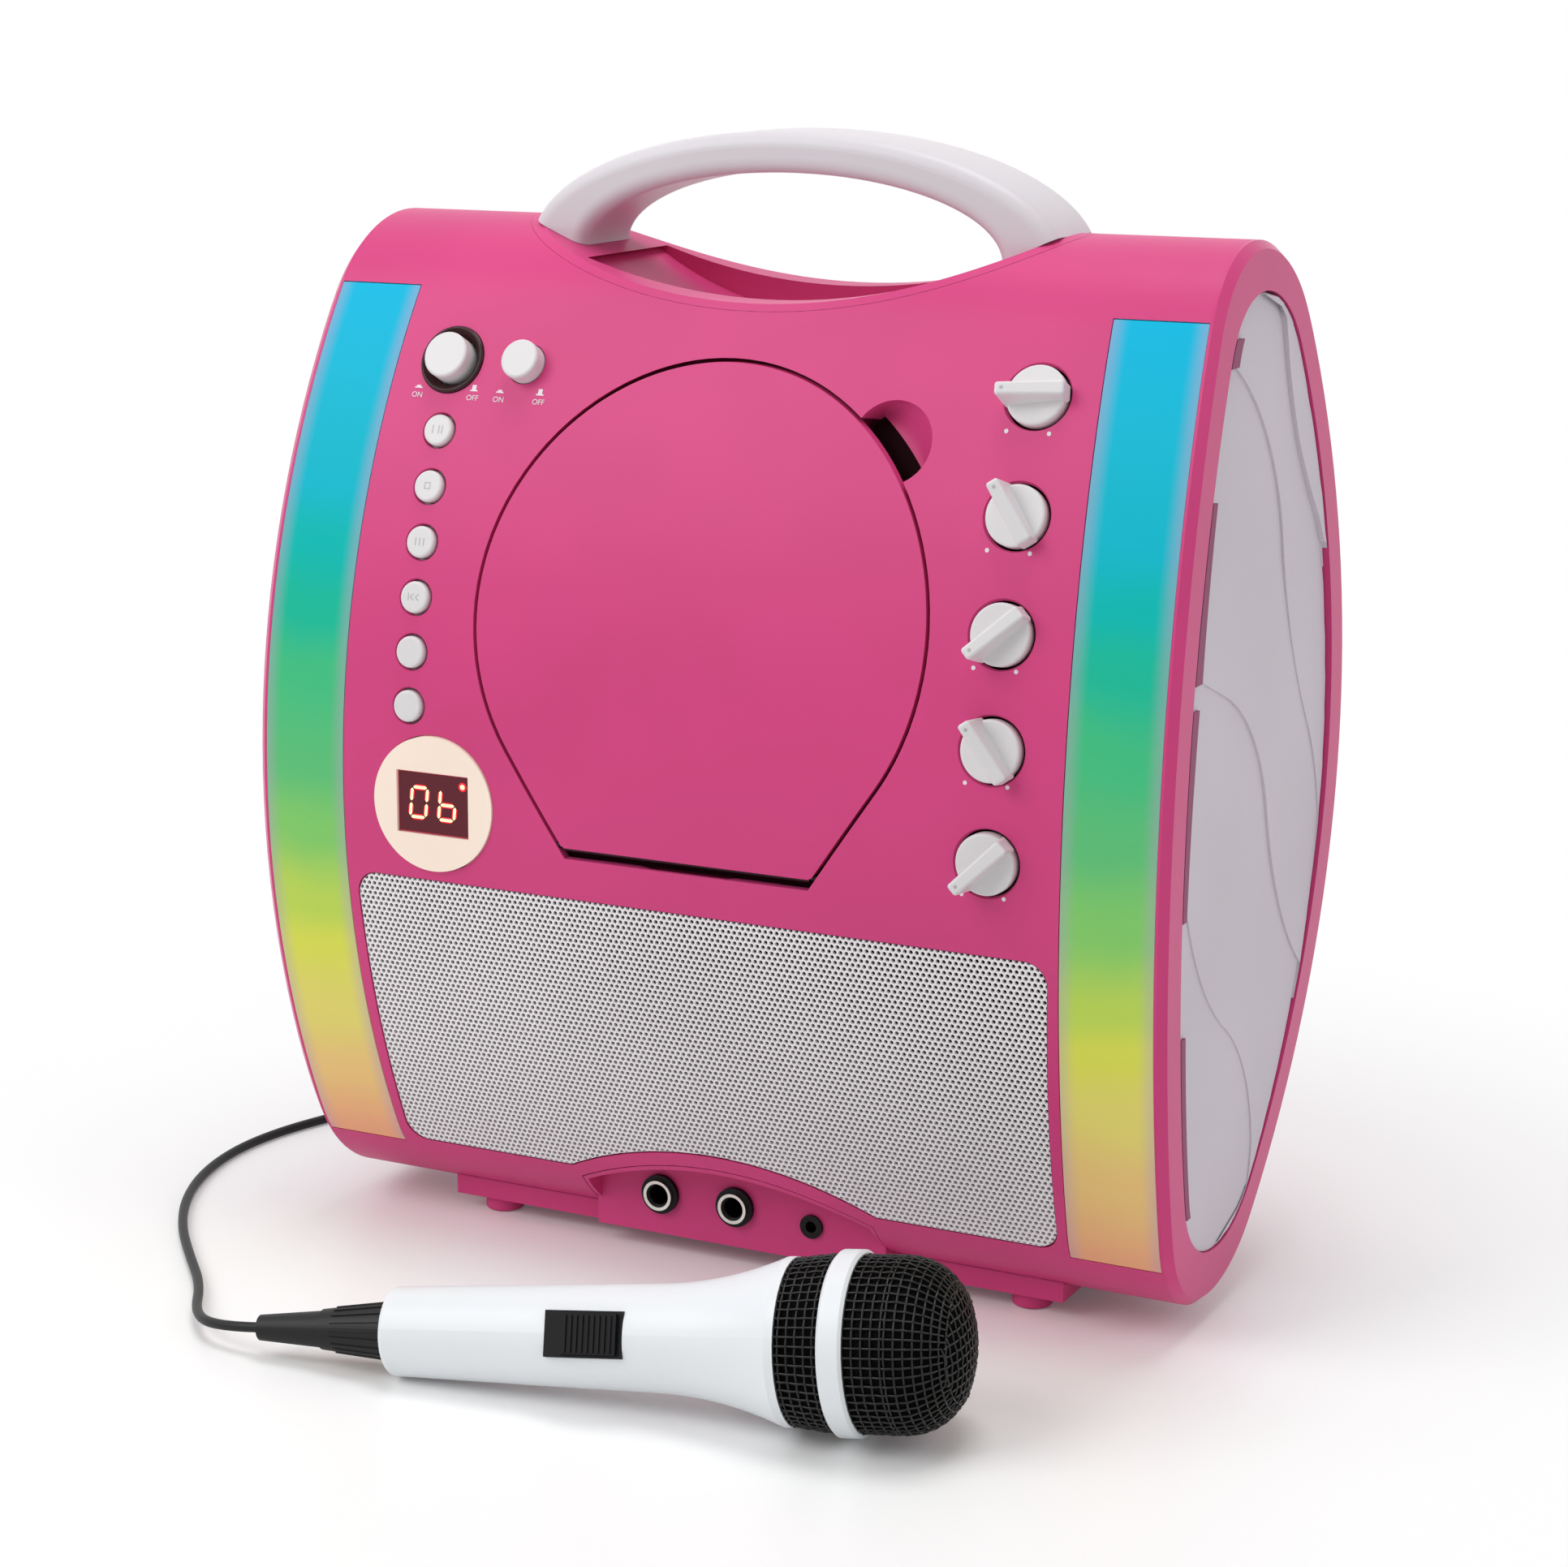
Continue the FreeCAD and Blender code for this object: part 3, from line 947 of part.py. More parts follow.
# Knobs and the dial board with its five potentiometers
for name, rise, angle in zip(KNOB_NAMES, KNOB_RISES, KNOB_ANGLES):
    profile = [("0", "-shaft_reach"), ("shaft_radius", "-shaft_reach"), ("shaft_radius",
            "-knob_cap_drop"),
               ("knob_radius", "-knob_cap_drop"), ("knob_radius", "knob_cap_rise - knob_edge"),
               ("knob_radius - knob_edge", "knob_cap_rise", "knob_edge", 1), ("0", "knob_cap_rise")]
    body = turned(name, profile)
    fin = body.newObject("PartDesign::Pad", name + "_fin")
    fin.Profile = outline(body, "YZ_Plane", [("-fin_thick / 2", "move_gap"), ("fin_thick / 2", "move_gap"),
                                             ("fin_top_thick / 2", "fin_rise"),
                                             ("-fin_top_thick / 2", "fin_rise")])
    fin.SideType = "Symmetric"
    bind(fin, {"Length": "2 * fin_half"})
    slope = body.newObject("PartDesign::Pocket", name + "_slope")
    slope.Profile = outline(body, "XZ_Plane", [("-(fin_half + overrun)", "fin_heel_rise"),
                                               ("fin_half + overrun", "fin_rise"),
                                               ("fin_half + overrun", "fin_rise + overrun"),
                                               ("-(fin_half + overrun)", "fin_rise + overrun")])
    slope.SideType = "Symmetric"
    bind(slope, {"Length": "2 * fin_thick"})
    doc.recompute()
    fin_edges = [f"Edge{number}" for number, edge in enumerate(slope.Shape.Edges, 1)
                 if edge.BoundBox.ZMax > amount("knob_cap_rise + fin_round")]
    rounds = body.newObject("PartDesign::Fillet", name + "_rounds")
    rounds.Base = (slope, fin_edges)
    bind(rounds, {"Radius": "fin_round"})
    on_front(body, "knob_x", rise)
    tilt = math.degrees(math.asin(amount(f"({rise} - front_peak_rise) / front_curve")))
    turned_to = FreeCAD.Rotation(AXIS_X, 90 - tilt).multiply(FreeCAD.Rotation(AXIS_Z, angle))
    body.setExpression("Placement.Rotation.Angle", None)
    body.Placement = FreeCAD.Placement(body.Placement.Base, turned_to)
    node(name, body)
pots = []
for name, rise in zip(KNOB_NAMES, KNOB_RISES):
    pots.append(front_rod(name + "_pot", "pot_radius", "knob_x", rise, "-switch_foot", "-pot_top"))
pot_bores = [front_rod(name + "_bore", "shaft_radius + shaft_gap", "knob_x", rise, "-pot_floor",
                       "overrun - pot_top")
             for name, rise in zip(KNOB_NAMES, KNOB_RISES)]
dial_standoffs = [front_rod(f"dial_standoff_{number}", "standoff_radius", "knob_x", rise, "-switch_foot",
                            "-(wall + seat_gap)")
                  for number, rise in enumerate(("dial_standoff_high", "dial_standoff_low"), 1)]
dial_sheet = front_box("dial_sheet", ("dial_board_start", "dial_board_end"), ("-dial_board_half",
        "dial_board_half"),
                       DEPTHS, "dial_board_rise")
dial_board = cut("dial_board", fuse("dial_board_solid", [dial_sheet] + pots + dial_standoffs), pot_bores)
node("control_boards", group("control_boards", [button_board, dial_board]))

# Round display window and the digit module set into it
digits_x = ("display_x - digits_width / 2", "display_x + digits_width / 2")
digits_up = ("-digits_height / 2", "digits_height / 2")


def digits_box(name, grow, depth):
    return front_box(name, (f"{digits_x[0]} - ({grow})", f"{digits_x[1]} + ({grow})"),
                     (f"{digits_up[0]} - ({grow})", f"{digits_up[1]} + ({grow})"), depth, "display_rise")


window = front_rod("window_round", "display_radius", "display_x", "display_rise", "-display_thick",
                   "display_proud")
node("display_window", cut("display_window", window,
                           [digits_box("digits_room", "seat_gap", ("-2 * overrun",
                                   "2 * display_thick"))]))
node("digit_display", digits_box("digit_display", "0", ("digits_sink", "digits_depth")))

# Perforated grille sheet and the speaker behind it
grille_block = common("grille_block", [grille_shape("grille_outline", "0"), lens("grille_sink")])
node("speaker_grille", cut("speaker_grille", grille_block, [lens("grille_sink + grille_thick")]))
SEAT = "(wall + baffle_ring + seat_gap)"
profile = [("speaker_mouth", f"-{SEAT}"), ("speaker_radius", f"-{SEAT}"),
           ("speaker_radius", f"-({SEAT} + basket_flange)"), ("speaker_mouth",
                   f"-({SEAT} + basket_flange)"),
           ("basket_foot", f"-({SEAT} + basket_depth)"), ("cone_inner", f"-({SEAT} + basket_depth)"),
           ("cone_inner", f"-({SEAT} + basket_depth - basket_wall)"),
           ("basket_foot - basket_wall", f"-({SEAT} + basket_depth - basket_wall)"),
           ("speaker_mouth - basket_wall", f"-({SEAT} + basket_flange)"),
           ("speaker_mouth - basket_wall", f"-({SEAT} + basket_flange / 2)"),
           ("speaker_mouth", f"-({SEAT} + basket_flange / 2)")]
basket = on_front(turned("basket", profile), "0", "speaker_rise")
magnet = front_rod("magnet", "magnet_radius", "0", "speaker_rise",
                   f"-({SEAT} + basket_depth + magnet_depth)",
                   f"-({SEAT} + basket_depth)")
node("speaker_frame", fuse("speaker_frame", [basket, magnet]))
CONE_TOP = f"({SEAT} + seat_gap)"
cone_out = "(speaker_mouth - seat_gap)"
profile = [("0", f"-({CONE_TOP} + cone_depth + cone_thick)"),
           ("cone_inner - cone_thick", f"-({CONE_TOP} + cone_depth + cone_thick)"),
           (f"{cone_out} - 2 * cone_roll", f"-({CONE_TOP} + cone_thick)"),
           (cone_out, f"-({CONE_TOP} + cone_thick)"), (cone_out, f"-{CONE_TOP}"),
           (f"{cone_out} - 2 * cone_roll", f"-{CONE_TOP}", "2 * cone_roll", 1),
           ("cone_inner", f"-({CONE_TOP} + cone_depth)"),
           ("0", f"-({CONE_TOP} + cone_depth - dust_rise)",
            "(cone_inner ^ 2 + dust_rise ^ 2) / (2 * dust_rise)", 1)]
node("speaker_cone", on_front(turned("speaker_cone", profile), "0", "speaker_rise"))

# Jack panel, jacks and chrome rings
jack_block = common("jack_block", [
    arch("panel_arch", "-fit_gap", "jack_face_y", "jack_back_y"),
    box("panel_box", ("fit_gap - jack_half", "jack_half - fit_gap"), ("jack_face_y", "jack_back_y"),
        ("jack_foot", "arch_rise"))])
jack_holes = [rod_y(f"jack_hole_{number}", "jack_barrel + seat_gap", x, "jack_rise",
                    "jack_face_y - overrun",
                    "jack_back_y + overrun") for number, x in enumerate(MIC_JACKS, 1)]
aux_hole = rod_y("aux_hole", "aux_radius - fit_gap", "aux_x", "aux_rise", "jack_face_y - overrun",
                 "jack_back_y + overrun")
tray_outside = common("tray_outside", [
    arch("tray_arch", "-fit_gap", FRONT_FAR, "jack_face_y"),
    box("tray_box", ("fit_gap - jack_half", "jack_half - fit_gap"), (FRONT_FAR, "jack_face_y"),
        ("jack_foot", "arch_rise")), lens("seat_gap")])
tray_space = common("tray_space", [
    arch("tray_space_arch", "-(fit_gap + jack_lip)", f"{FRONT_FAR} - overrun", "jack_face_y"),
    box("tray_space_box", ("fit_gap + jack_lip - jack_half", "jack_half - fit_gap - jack_lip"),
        (f"{FRONT_FAR} - overrun", "jack_face_y"), ("-overrun", "arch_rise"))])
jack_tray = fuse("jack_tray", [jack_block, cut("tray_rim", tray_outside, [tray_space])])
node("jack_panel", cut("jack_panel", jack_tray, jack_holes + [aux_hole]))
FACE_OUT = FreeCAD.Rotation(AXIS_X, 90)
jacks = []
rings = []
for number, x in enumerate(MIC_JACKS, 1):
    profile = [("0", "-jack_depth"), ("jack_barrel", "-jack_depth"), ("jack_barrel", "seat_gap"),
               ("jack_radius", "seat_gap"), ("jack_radius", "jack_nut"), ("jack_bore", "jack_nut"),
               ("jack_bore", "jack_nut - jack_bore_depth"), ("0", "jack_nut - jack_bore_depth")]
    jacks.append(place(turned(f"mic_jack_{number}", profile), x, "jack_face_y", "jack_rise", FACE_OUT))
    profile = [("jack_ring_in", "jack_nut"), ("jack_ring_radius", "jack_nut"),
               ("jack_ring_radius", "jack_ring_rise"), ("jack_ring_in", "jack_ring_rise - seat_gap")]
    rings.append(place(turned(f"jack_ring_{number}", profile), x, "jack_face_y", "jack_rise", FACE_OUT))
node("mic_jacks", group("mic_jacks", jacks))
node("jack_rings", group("jack_rings", rings))
profile = [("0", "-aux_depth"), ("aux_radius - 2 * fit_gap", "-aux_depth"), ("aux_radius - 2 * fit_gap",
        "seat_gap"),
           ("aux_radius", "seat_gap"), ("aux_radius", "aux_nut"), ("aux_bore", "aux_nut"),
           ("aux_bore", "aux_nut - aux_bore_depth"), ("0", "aux_nut - aux_bore_depth")]
node("aux_jack", place(turned("aux_jack", profile), "aux_x", "jack_face_y", "aux_rise", FACE_OUT))

# Plinth and feet
plinth_box = box("plinth_box", ("-plinth_half", "plinth_half"), ("plinth_front_y", "plinth_rear_y"),
                 ("plinth_bottom", "plinth_top"))
node("base_plinth", cut("base_plinth", plinth_box, [lens("-seat_gap")]))
feet = []
for number, (x, y) in enumerate([("foot_x", "foot_front_y"), ("-foot_x", "foot_front_y"),
                                 ("foot_x", "foot_rear_y"), ("-foot_x", "foot_rear_y")], 1):
    profile = [("0", "0"), ("foot_radius - foot_edge", "0"), ("foot_radius", "foot_edge", "foot_edge", 1),
               ("foot_radius", "plinth_bottom"), ("0", "plinth_bottom")]
    feet.append(place(turned(f"foot_{number}", profile), x, y, "0"))
node("feet", group("feet", feet))

# Microphone lying on its ring and its tail
RING_REST = "(ring_start + ring_chamfer)"
mic_pitch = math.atan(amount(f"(ring_out_radius - tail_radius) / ({RING_REST} - tail_edge)"))
mic_turn = math.radians(amount("mic_turn"))
mic_axis = V(math.cos(mic_pitch) * math.cos(mic_turn), math.cos(mic_pitch) * math.sin(mic_turn),
             math.sin(mic_pitch))
sideways = V(math.sin(mic_turn), -math.cos(mic_turn), 0)
upwards = sideways.cross(mic_axis)
roll = math.radians(amount("switch_roll"))
switch_way = sideways * math.cos(roll) + upwards * math.sin(roll)
tail_rise = amount("tail_radius") * math.cos(mic_pitch) - amount("tail_edge") * math.sin(mic_pitch)
mic_tail = V(amount("mic_x"), amount("cabinet_y + mic_y"), tail_rise)
mic_frame = FreeCAD.Placement(mic_tail, FreeCAD.Rotation(switch_way, mic_axis.cross(switch_way), mic_axis,
                                                         "ZXY"))


def on_mic(obj):
    obj.Placement = mic_frame.multiply(obj.Placement)
    return obj


def mic_box(name, x, half, z):
    made = block(name, f"({x[1]}) - ({x[0]})", f"2 * ({half})", f"({z[1]}) - ({z[0]})")
    made.Placement.Base = V(amount(x[0]), -amount(half), amount(z[0]))
    return on_mic(made)


profile = [("0", "0"), ("tail_radius - tail_edge", "0"), ("tail_radius", "tail_edge", "tail_edge", 1),
           ("grip_mid_radius", "grip_mid"), ("flare_start_radius", "flare_start"),
           ("cup_radius", "cup_start", "flare_curve", -1), ("cup_radius", "cup_end"), ("0", "cup_end")]
grip = on_mic(turned("mic_grip", profile))
plate_room = mic_box("plate_room", ("plate_floor - seat_gap", "2 * plate_face"), "plate_half + seat_gap",
                     ("plate_start - seat_gap", "plate_end + seat_gap"))
node("mic_handle", cut("mic_handle", grip, [plate_room]))
profile = [("0", "cup_end + seat_gap"), ("mesh_start_radius", "cup_end + seat_gap"),
           ("head_radius - seat_gap", "ring_start"), ("head_radius - seat_gap", "ring_end"),
           ("head_radius", "ring_end + seat_gap"), ("head_radius", "head_end - head_radius"),
           ("0", "head_end", "head_radius", 1)]
node("mic_head", on_mic(turned("mic_head", profile)))
profile = [("head_radius", "ring_start"), ("ring_out_radius - ring_chamfer", "ring_start"),
           ("ring_out_radius", "ring_start + ring_chamfer"), ("ring_out_radius",
                   "ring_end - ring_chamfer"),
           ("ring_out_radius - ring_chamfer", "ring_end"), ("head_radius", "ring_end")]
node("mic_ring", on_mic(turned("mic_ring", profile)))
plate_blank = mic_box("plate_blank", ("plate_floor", "plate_face"), "plate_half", ("plate_start",
        "plate_end"))
STEM = ("(slider_start + slider_end) / 2 - slider_stem", "(slider_start + slider_end) / 2 + slider_stem")
slider_slot = mic_box("slider_slot", ("plate_floor - overrun", "plate_face + overrun"),
                      "slider_stem + move_gap",
                      (f"{STEM[0]} - slider_travel - move_gap", f"{STEM[1]} + move_gap"))
node("mic_switch_plate", cut("mic_switch_plate", plate_blank, [slider_slot]))
slider_cap = mic_box("slider_cap", ("plate_face + move_gap", "plate_face + move_gap + slider_rise"),
                     "slider_half",
                     ("slider_start", "slider_end"))
slider_post = mic_box("slider_post", ("plate_floor + move_gap", "plate_face + 2 * move_gap"),
                      "slider_stem", STEM)
ribs = []
for number in range(SLIDER_RIBS):
    share = f"{number + 1} / {SLIDER_RIBS + 1}"
    start = f"slider_start + {share} * (slider_end - slider_start) - slider_rib_wide / 2"
    ribs.append(mic_box(f"slider_rib_{number}", ("plate_face + slider_rise",
                                                 "plate_face + move_gap + slider_rise + slider_rib"),
                        "slider_half - slider_rib", (start, f"{start} + slider_rib_wide")))
node("mic_switch", fuse("mic_switch", [slider_cap, slider_post] + ribs))
profile = [("0", "-seat_gap"), ("collar_radius", "-seat_gap"), ("collar_end_radius", "-collar_end"),
           ("boot_radius", "-collar_end"), ("boot_end_radius", "-boot_end"), ("0", "-boot_end")]
node("mic_strain_relief", on_mic(turned("mic_strain_relief", profile)))

# Cord from the microphone round the left end to a coil behind the machine, as hand-chosen points
cord_start = mic_frame.multVec(V(0, 0, -amount("boot_end")))
ROUTE_POINTS = [(-105, -156.2, 6.6), (-121, -145, 3.6), (-136, -121.5, 1.8), (-154, -102.5, 1.5),
                (-171, -83.5, 1.5), (-184.5, -63.5, 1.5), (-194, -42, 1.5), (-198.6, -19, 1.5),
                (-197, 3, 1.5), (-190, 25, 1.5), (-179, 48.5, 1.5), (-163, 71.5, 1.5),
                (-141.5, 90.5, 1.5), (-115, 99.3, 1.7), (-86, 101.7, 2.1), (-57, 101.2, 2.6),
                (-33, 101.2, 2.6)]
CORD_ROUTE = [cord_start] + [V(x, amount("cabinet_y") + y, z) for x, y, z in ROUTE_POINTS]
SHORT_RUN_SHARE = 0.45


def rounded_path(points):
    """Straight runs joined by the largest tangent arcs that the runs allow, with the arcs' radii."""
    edges = []
    radii = []
    here = points[0]
    for number in range(1, len(points) - 1):
        corner = points[number]
        back = (points[number - 1] - corner).normalize()
        ahead = (points[number + 1] - corner).normalize()
        trim = SHORT_RUN_SHARE * min(corner.distanceToPoint(points[number - 1]),
                                     corner.distanceToPoint(points[number + 1]))
        turn = math.pi - back.getAngle(ahead)
        radius = trim / math.tan(turn / 2)
        radii.append(radius)
        start = corner + back * trim
        end = corner + ahead * trim
        inward = (back + ahead).normalize()
        middle = corner + inward * (radius / math.cos(turn / 2) - radius)
        edges.append(Part.LineSegment(here, start).toShape())
        edges.append(Part.Arc(start, middle, end).toShape())
        here = end
    edges.append(Part.LineSegment(here, points[-1]).toShape())
    return Part.Wire(edges), radii


def tube_along(path):
    """Round solid of the cord's section swept along a path."""
    first = path.Edges[0]
    start = first.valueAt(first.FirstParameter)
    way = first.tangentAt(first.FirstParameter)
    section = Part.Wire([Part.Circle(start, way, amount("cord_radius")).toShape()])
    return path.makePipeShell([section], True, False)


def feature(name, shape):
    made = doc.addObject("Part::Feature", name)
    made.Shape = shape
    return made


cord_path, cord_radii = rounded_path(CORD_ROUTE)
cord_shape = tube_along(cord_path)
section_area = math.pi * amount("cord_radius") ** 2
print("cord radii", [round(radius, 1) for radius in cord_radii])
print("cord length", round(cord_path.Length, 1), "volume share",
      round(cord_shape.Volume / (section_area * cord_path.Length), 4))
node("mic_cord", feature("mic_cord", cord_shape))

# Coil in layers that spiral in and out, climbing in the half turn where the spiral reverses
coil_outer = amount("coil_inner") + LAYER_TURNS * amount("coil_pitch")
cord_end = CORD_ROUTE[-1]
stub = 2 * amount("cord_radius")
coil_middle = V(cord_end.x + stub, cord_end.y + coil_outer, cord_end.z)
LAYER_SPAN = LAYER_TURNS + 0.5


def coil_point(turns):
    """Point on the coil's centre line after a number of turns."""
    layer = min(int(turns / LAYER_SPAN), LAYERS - 1)
    within = turns - layer * LAYER_SPAN
    wound = min(within, LAYER_TURNS) * amount("coil_pitch")
    radius = coil_outer - wound if layer % 2 == 0 else amount("coil_inner") + wound
    climb = max(within - LAYER_TURNS, 0) / 0.5
    rise = (layer + climb * climb * (3 - 2 * climb)) * amount("layer_pitch")
    angle = 2 * math.pi * turns - math.pi / 2
    return coil_middle + V(radius * math.cos(angle), radius * math.sin(angle), rise)


def coil_way(turns):
    """Direction of the coil's centre line, from two close points."""
    step = 1e-5
    return (coil_point(turns + step) - coil_point(turns - step)).normalize()


def arc_from(start, way, end):
    """Arc that leaves a point in a direction and ends at another point."""
    chord = end - start
    reach = chord.dot(chord) / (2 * chord.dot(way))
    corner = start + way * reach
    bend = chord.Length / (2 * reach)
    middle = ((start + end) * 0.5 + corner * bend) * (1 / (1 + bend))
    return Part.Arc(start, middle, end).toShape()


def biarc(start, way, end, end_way):
    """Two tangent arcs between two points with given directions."""
    span = end - start
    both = way + end_way
    bend = 2 * (1 - way.dot(end_way))
    along = span.dot(both)
    reach = span.dot(span) / (along + math.sqrt(along ** 2 + bend * span.dot(span)))
    joint = (start + way * reach + end - end_way * reach) * 0.5
    joint_way = (end - end_way * reach - start - way * reach).normalize()
    return [arc_from(start, way, joint), arc_from(joint, joint_way, end)]


total_turns = LAYERS * LAYER_TURNS + (LAYERS - 1) * 0.5
steps = int(total_turns * 4)
marks = [coil_point(number / 4) for number in range(steps + 1)]
ways = [coil_way(number / 4) for number in range(steps + 1)]
ways[0] = AXIS_X
ways[-1] = AXIS_X * -1
coil_edges = [Part.LineSegment(cord_end, marks[0]).toShape()]
for number in range(steps):
    coil_edges += biarc(marks[number], ways[number], marks[number + 1], ways[number + 1])
tail_start = marks[-1] + ways[-1] * stub
plug_start = tail_start + V(-amount("tail_run"), amount("tail_side"), 0)
plug_start.z = amount("plug_rise")
coil_edges.append(Part.LineSegment(marks[-1], tail_start).toShape())
coil_edges += biarc(tail_start, ways[-1], plug_start + AXIS_X * stub, AXIS_X * -1)
coil_edges.append(Part.LineSegment(plug_start + AXIS_X * stub, plug_start).toShape())
coil_path = Part.Wire(coil_edges)
coil_shape = tube_along(coil_path)
print("coil length", round(coil_path.Length, 1), "volume share",
      round(coil_shape.Volume / (section_area * coil_path.Length), 4))
print("cord length in all", round(cord_path.Length + coil_path.Length, 1))
samples = [coil_point(number / 48) for number in range(int(total_turns * 48) + 1)]
near = min(samples[first].distanceToPoint(samples[second]) for first in range(len(samples))
           for second in range(first + 24, len(samples)))
print("least gap between turns", round(near - 2 * amount("cord_radius"), 3))
node("mic_cord_coil", feature("mic_cord_coil", coil_shape))

# Tie round the coil's bundle on its far side, and the plug beside the coil
tie_inside = amount("sqrt((coil_inner - cord_radius) ^ 2 - (tie_wide / 2) ^ 2) - fit_gap")
tie_outside = coil_outer + amount("cord_radius + fit_gap")
stack = amount("2 * cord_radius + 2 * fit_gap") + (LAYERS - 1) * amount("layer_pitch")
tie_thick = amount("tie_thick")
tie_base = coil_middle + V(tie_inside - tie_thick, -amount("tie_wide") / 2, 0)
tie_base.z = coil_middle.z - amount("cord_radius + fit_gap") - tie_thick
tie_ring = Part.makeBox(tie_outside - tie_inside + 2 * tie_thick, amount("tie_wide"),
                        stack + 2 * tie_thick, tie_base)
tie_hole = Part.makeBox(tie_outside - tie_inside, amount("2 * tie_wide"), stack,
                        tie_base + V(tie_thick, -amount("tie_wide") / 2, tie_thick))
node("coil_tie", feature("coil_tie", tie_ring.cut(tie_hole)))
profile = [("0", "0"), ("cord_radius + plug_tip_neck", "0"), ("plug_neck", "plug_boot"), ("plug_sleeve",
        "plug_boot"),
           ("plug_sleeve", "plug_sleeve_end"), ("plug_pin", "plug_sleeve_end"), ("plug_pin",
                   "plug_tip_start"),
           ("plug_tip_neck", "plug_tip_root"), ("plug_pin", "plug_tip_root + plug_tip_neck / 2"), ("0",
                   "plug_pin_end")]
plug = turned("mic_plug", profile)
plug.Placement = FreeCAD.Placement(plug_start, FreeCAD.Rotation(AXIS_Y, -90))
node("mic_plug", plug)

# Check every object and write each sub-part
doc.recompute()
bad = [item.Name for item in doc.Objects if "Invalid" in item.State or "Error" in item.State]
for label, item in nodes.items():
    shape = item.Shape
    if shape.isNull() or not shape.isValid() or not shape.Solids:
        bad.append(label)
if bad:
    raise RuntimeError("failed objects: " + ", ".join(bad))
os.makedirs("parts", exist_ok=True)
for label, item in nodes.items():
    item.Shape.exportStep(f"parts/{label}.step")
    print(label, len(item.Shape.Solids), round(item.Shape.Volume / 1000, 2))
print("sub-parts", len(nodes))
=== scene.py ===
import math

import bmesh
import bpy
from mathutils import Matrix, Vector


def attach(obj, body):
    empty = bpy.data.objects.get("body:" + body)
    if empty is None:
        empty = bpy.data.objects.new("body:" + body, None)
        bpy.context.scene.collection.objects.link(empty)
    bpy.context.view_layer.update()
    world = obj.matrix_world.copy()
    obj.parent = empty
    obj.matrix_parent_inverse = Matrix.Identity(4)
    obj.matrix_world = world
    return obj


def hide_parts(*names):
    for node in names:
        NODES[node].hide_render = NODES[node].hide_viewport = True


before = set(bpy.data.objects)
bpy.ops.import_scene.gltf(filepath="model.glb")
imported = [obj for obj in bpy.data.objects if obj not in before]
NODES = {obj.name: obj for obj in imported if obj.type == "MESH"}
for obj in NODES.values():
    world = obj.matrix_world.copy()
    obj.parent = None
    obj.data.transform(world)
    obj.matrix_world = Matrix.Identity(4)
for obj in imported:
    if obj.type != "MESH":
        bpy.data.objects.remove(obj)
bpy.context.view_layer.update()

# Places that repeat the CAD model's sizes
CABINET_Y = 0.03726
CABINET_RISE = 0.320
HALF_WIDTH = 0.149
FRONT_CURVE = 0.300
FRONT_PEAK = 0.140
FRONT_STAND = 0.0645
REAR_CURVE = 0.236
REAR_PEAK = 0.176
REAR_STAND = 0.0854
END_CURVE = 2.070
END_PEAK = 0.155
DOOR_RISE = 0.205
KNOB_NAMES = ["volume_knob", "echo_knob", "voice_knob", "balance_knob", "mic_volume_knob"]
KNOB_ANGLES = [188, 125, 225, 125, 225]
KNOB_X = 0.0955
KNOB_TOP = 0.2735
KNOB_PITCH = 0.0316
KNOB_RISES = [KNOB_TOP - step * KNOB_PITCH for step in range(len(KNOB_NAMES))]
BUTTON_X = -0.0945
BUTTON_TOP = 0.2537
BUTTON_PITCH = 0.0161
DISPLAY_X = -0.0855
DISPLAY_RISE = 0.1442
POWER_X = -0.095
LIGHTS_X = -0.0693
POWER_RISE = 0.274

# The microphone's own frame: its tail, its axis and the way that its switch faces
MIC_TAIL = Vector((-0.0491, -0.11044, 0.012427))
MIC_AXIS = Vector((0.982072, 0.162053, 0.096303)).normalized()
MIC_SIDE = MIC_AXIS.cross(Vector((0, 0, 1))).normalized()
MIC_UP = MIC_SIDE.cross(MIC_AXIS)


def front_point(x, rise, out=0.0):
    """Point on the front face at a height, raised by out along the face's own normal."""
    slope = math.asin((rise - FRONT_PEAK) / FRONT_CURVE)
    reach = FRONT_CURVE + out
    y = CABINET_Y + FRONT_CURVE - FRONT_STAND - reach * math.cos(slope)
    return Vector((x, y, FRONT_PEAK + reach * math.sin(slope)))


# Scales of the noise that varies each finish, and small helpers for meshes and materials
GRAIN_DETAIL = 4.0
GRAIN_DISTANCE = 0.00005
CLOUD_SCALE = 14.0
CLOUD_ENDS = (0.3, 0.7)


def mesh_object(name, verts, faces, smooth=False):
    mesh = bpy.data.meshes.new(name)
    mesh.from_pydata([tuple(v) for v in verts], [], faces)
    mesh.update()
    made = bpy.data.objects.new(name, mesh)
    bpy.context.scene.collection.objects.link(made)
    for polygon in mesh.polygons:
        polygon.use_smooth = smooth
    return made


def bmesh_object(name, made):
    """Object from a finished bmesh, which is freed."""
    mesh = bpy.data.meshes.new(name)
    made.to_mesh(mesh)
    made.free()
    piece = bpy.data.objects.new(name, mesh)
    bpy.context.scene.collection.objects.link(piece)
    return piece


def link(tree, source, target):
    tree.links.new(source, target)


def math_node(tree, operation, first, second=None):
    made = tree.nodes.new("ShaderNodeMath")
    made.operation = operation
    for number, value in enumerate((first, second)):
        if value is None:
            continue
        if isinstance(value, (int, float)):
            made.inputs[number].default_value = value
        else:
            link(tree, value, made.inputs[number])
    return made.outputs[0]


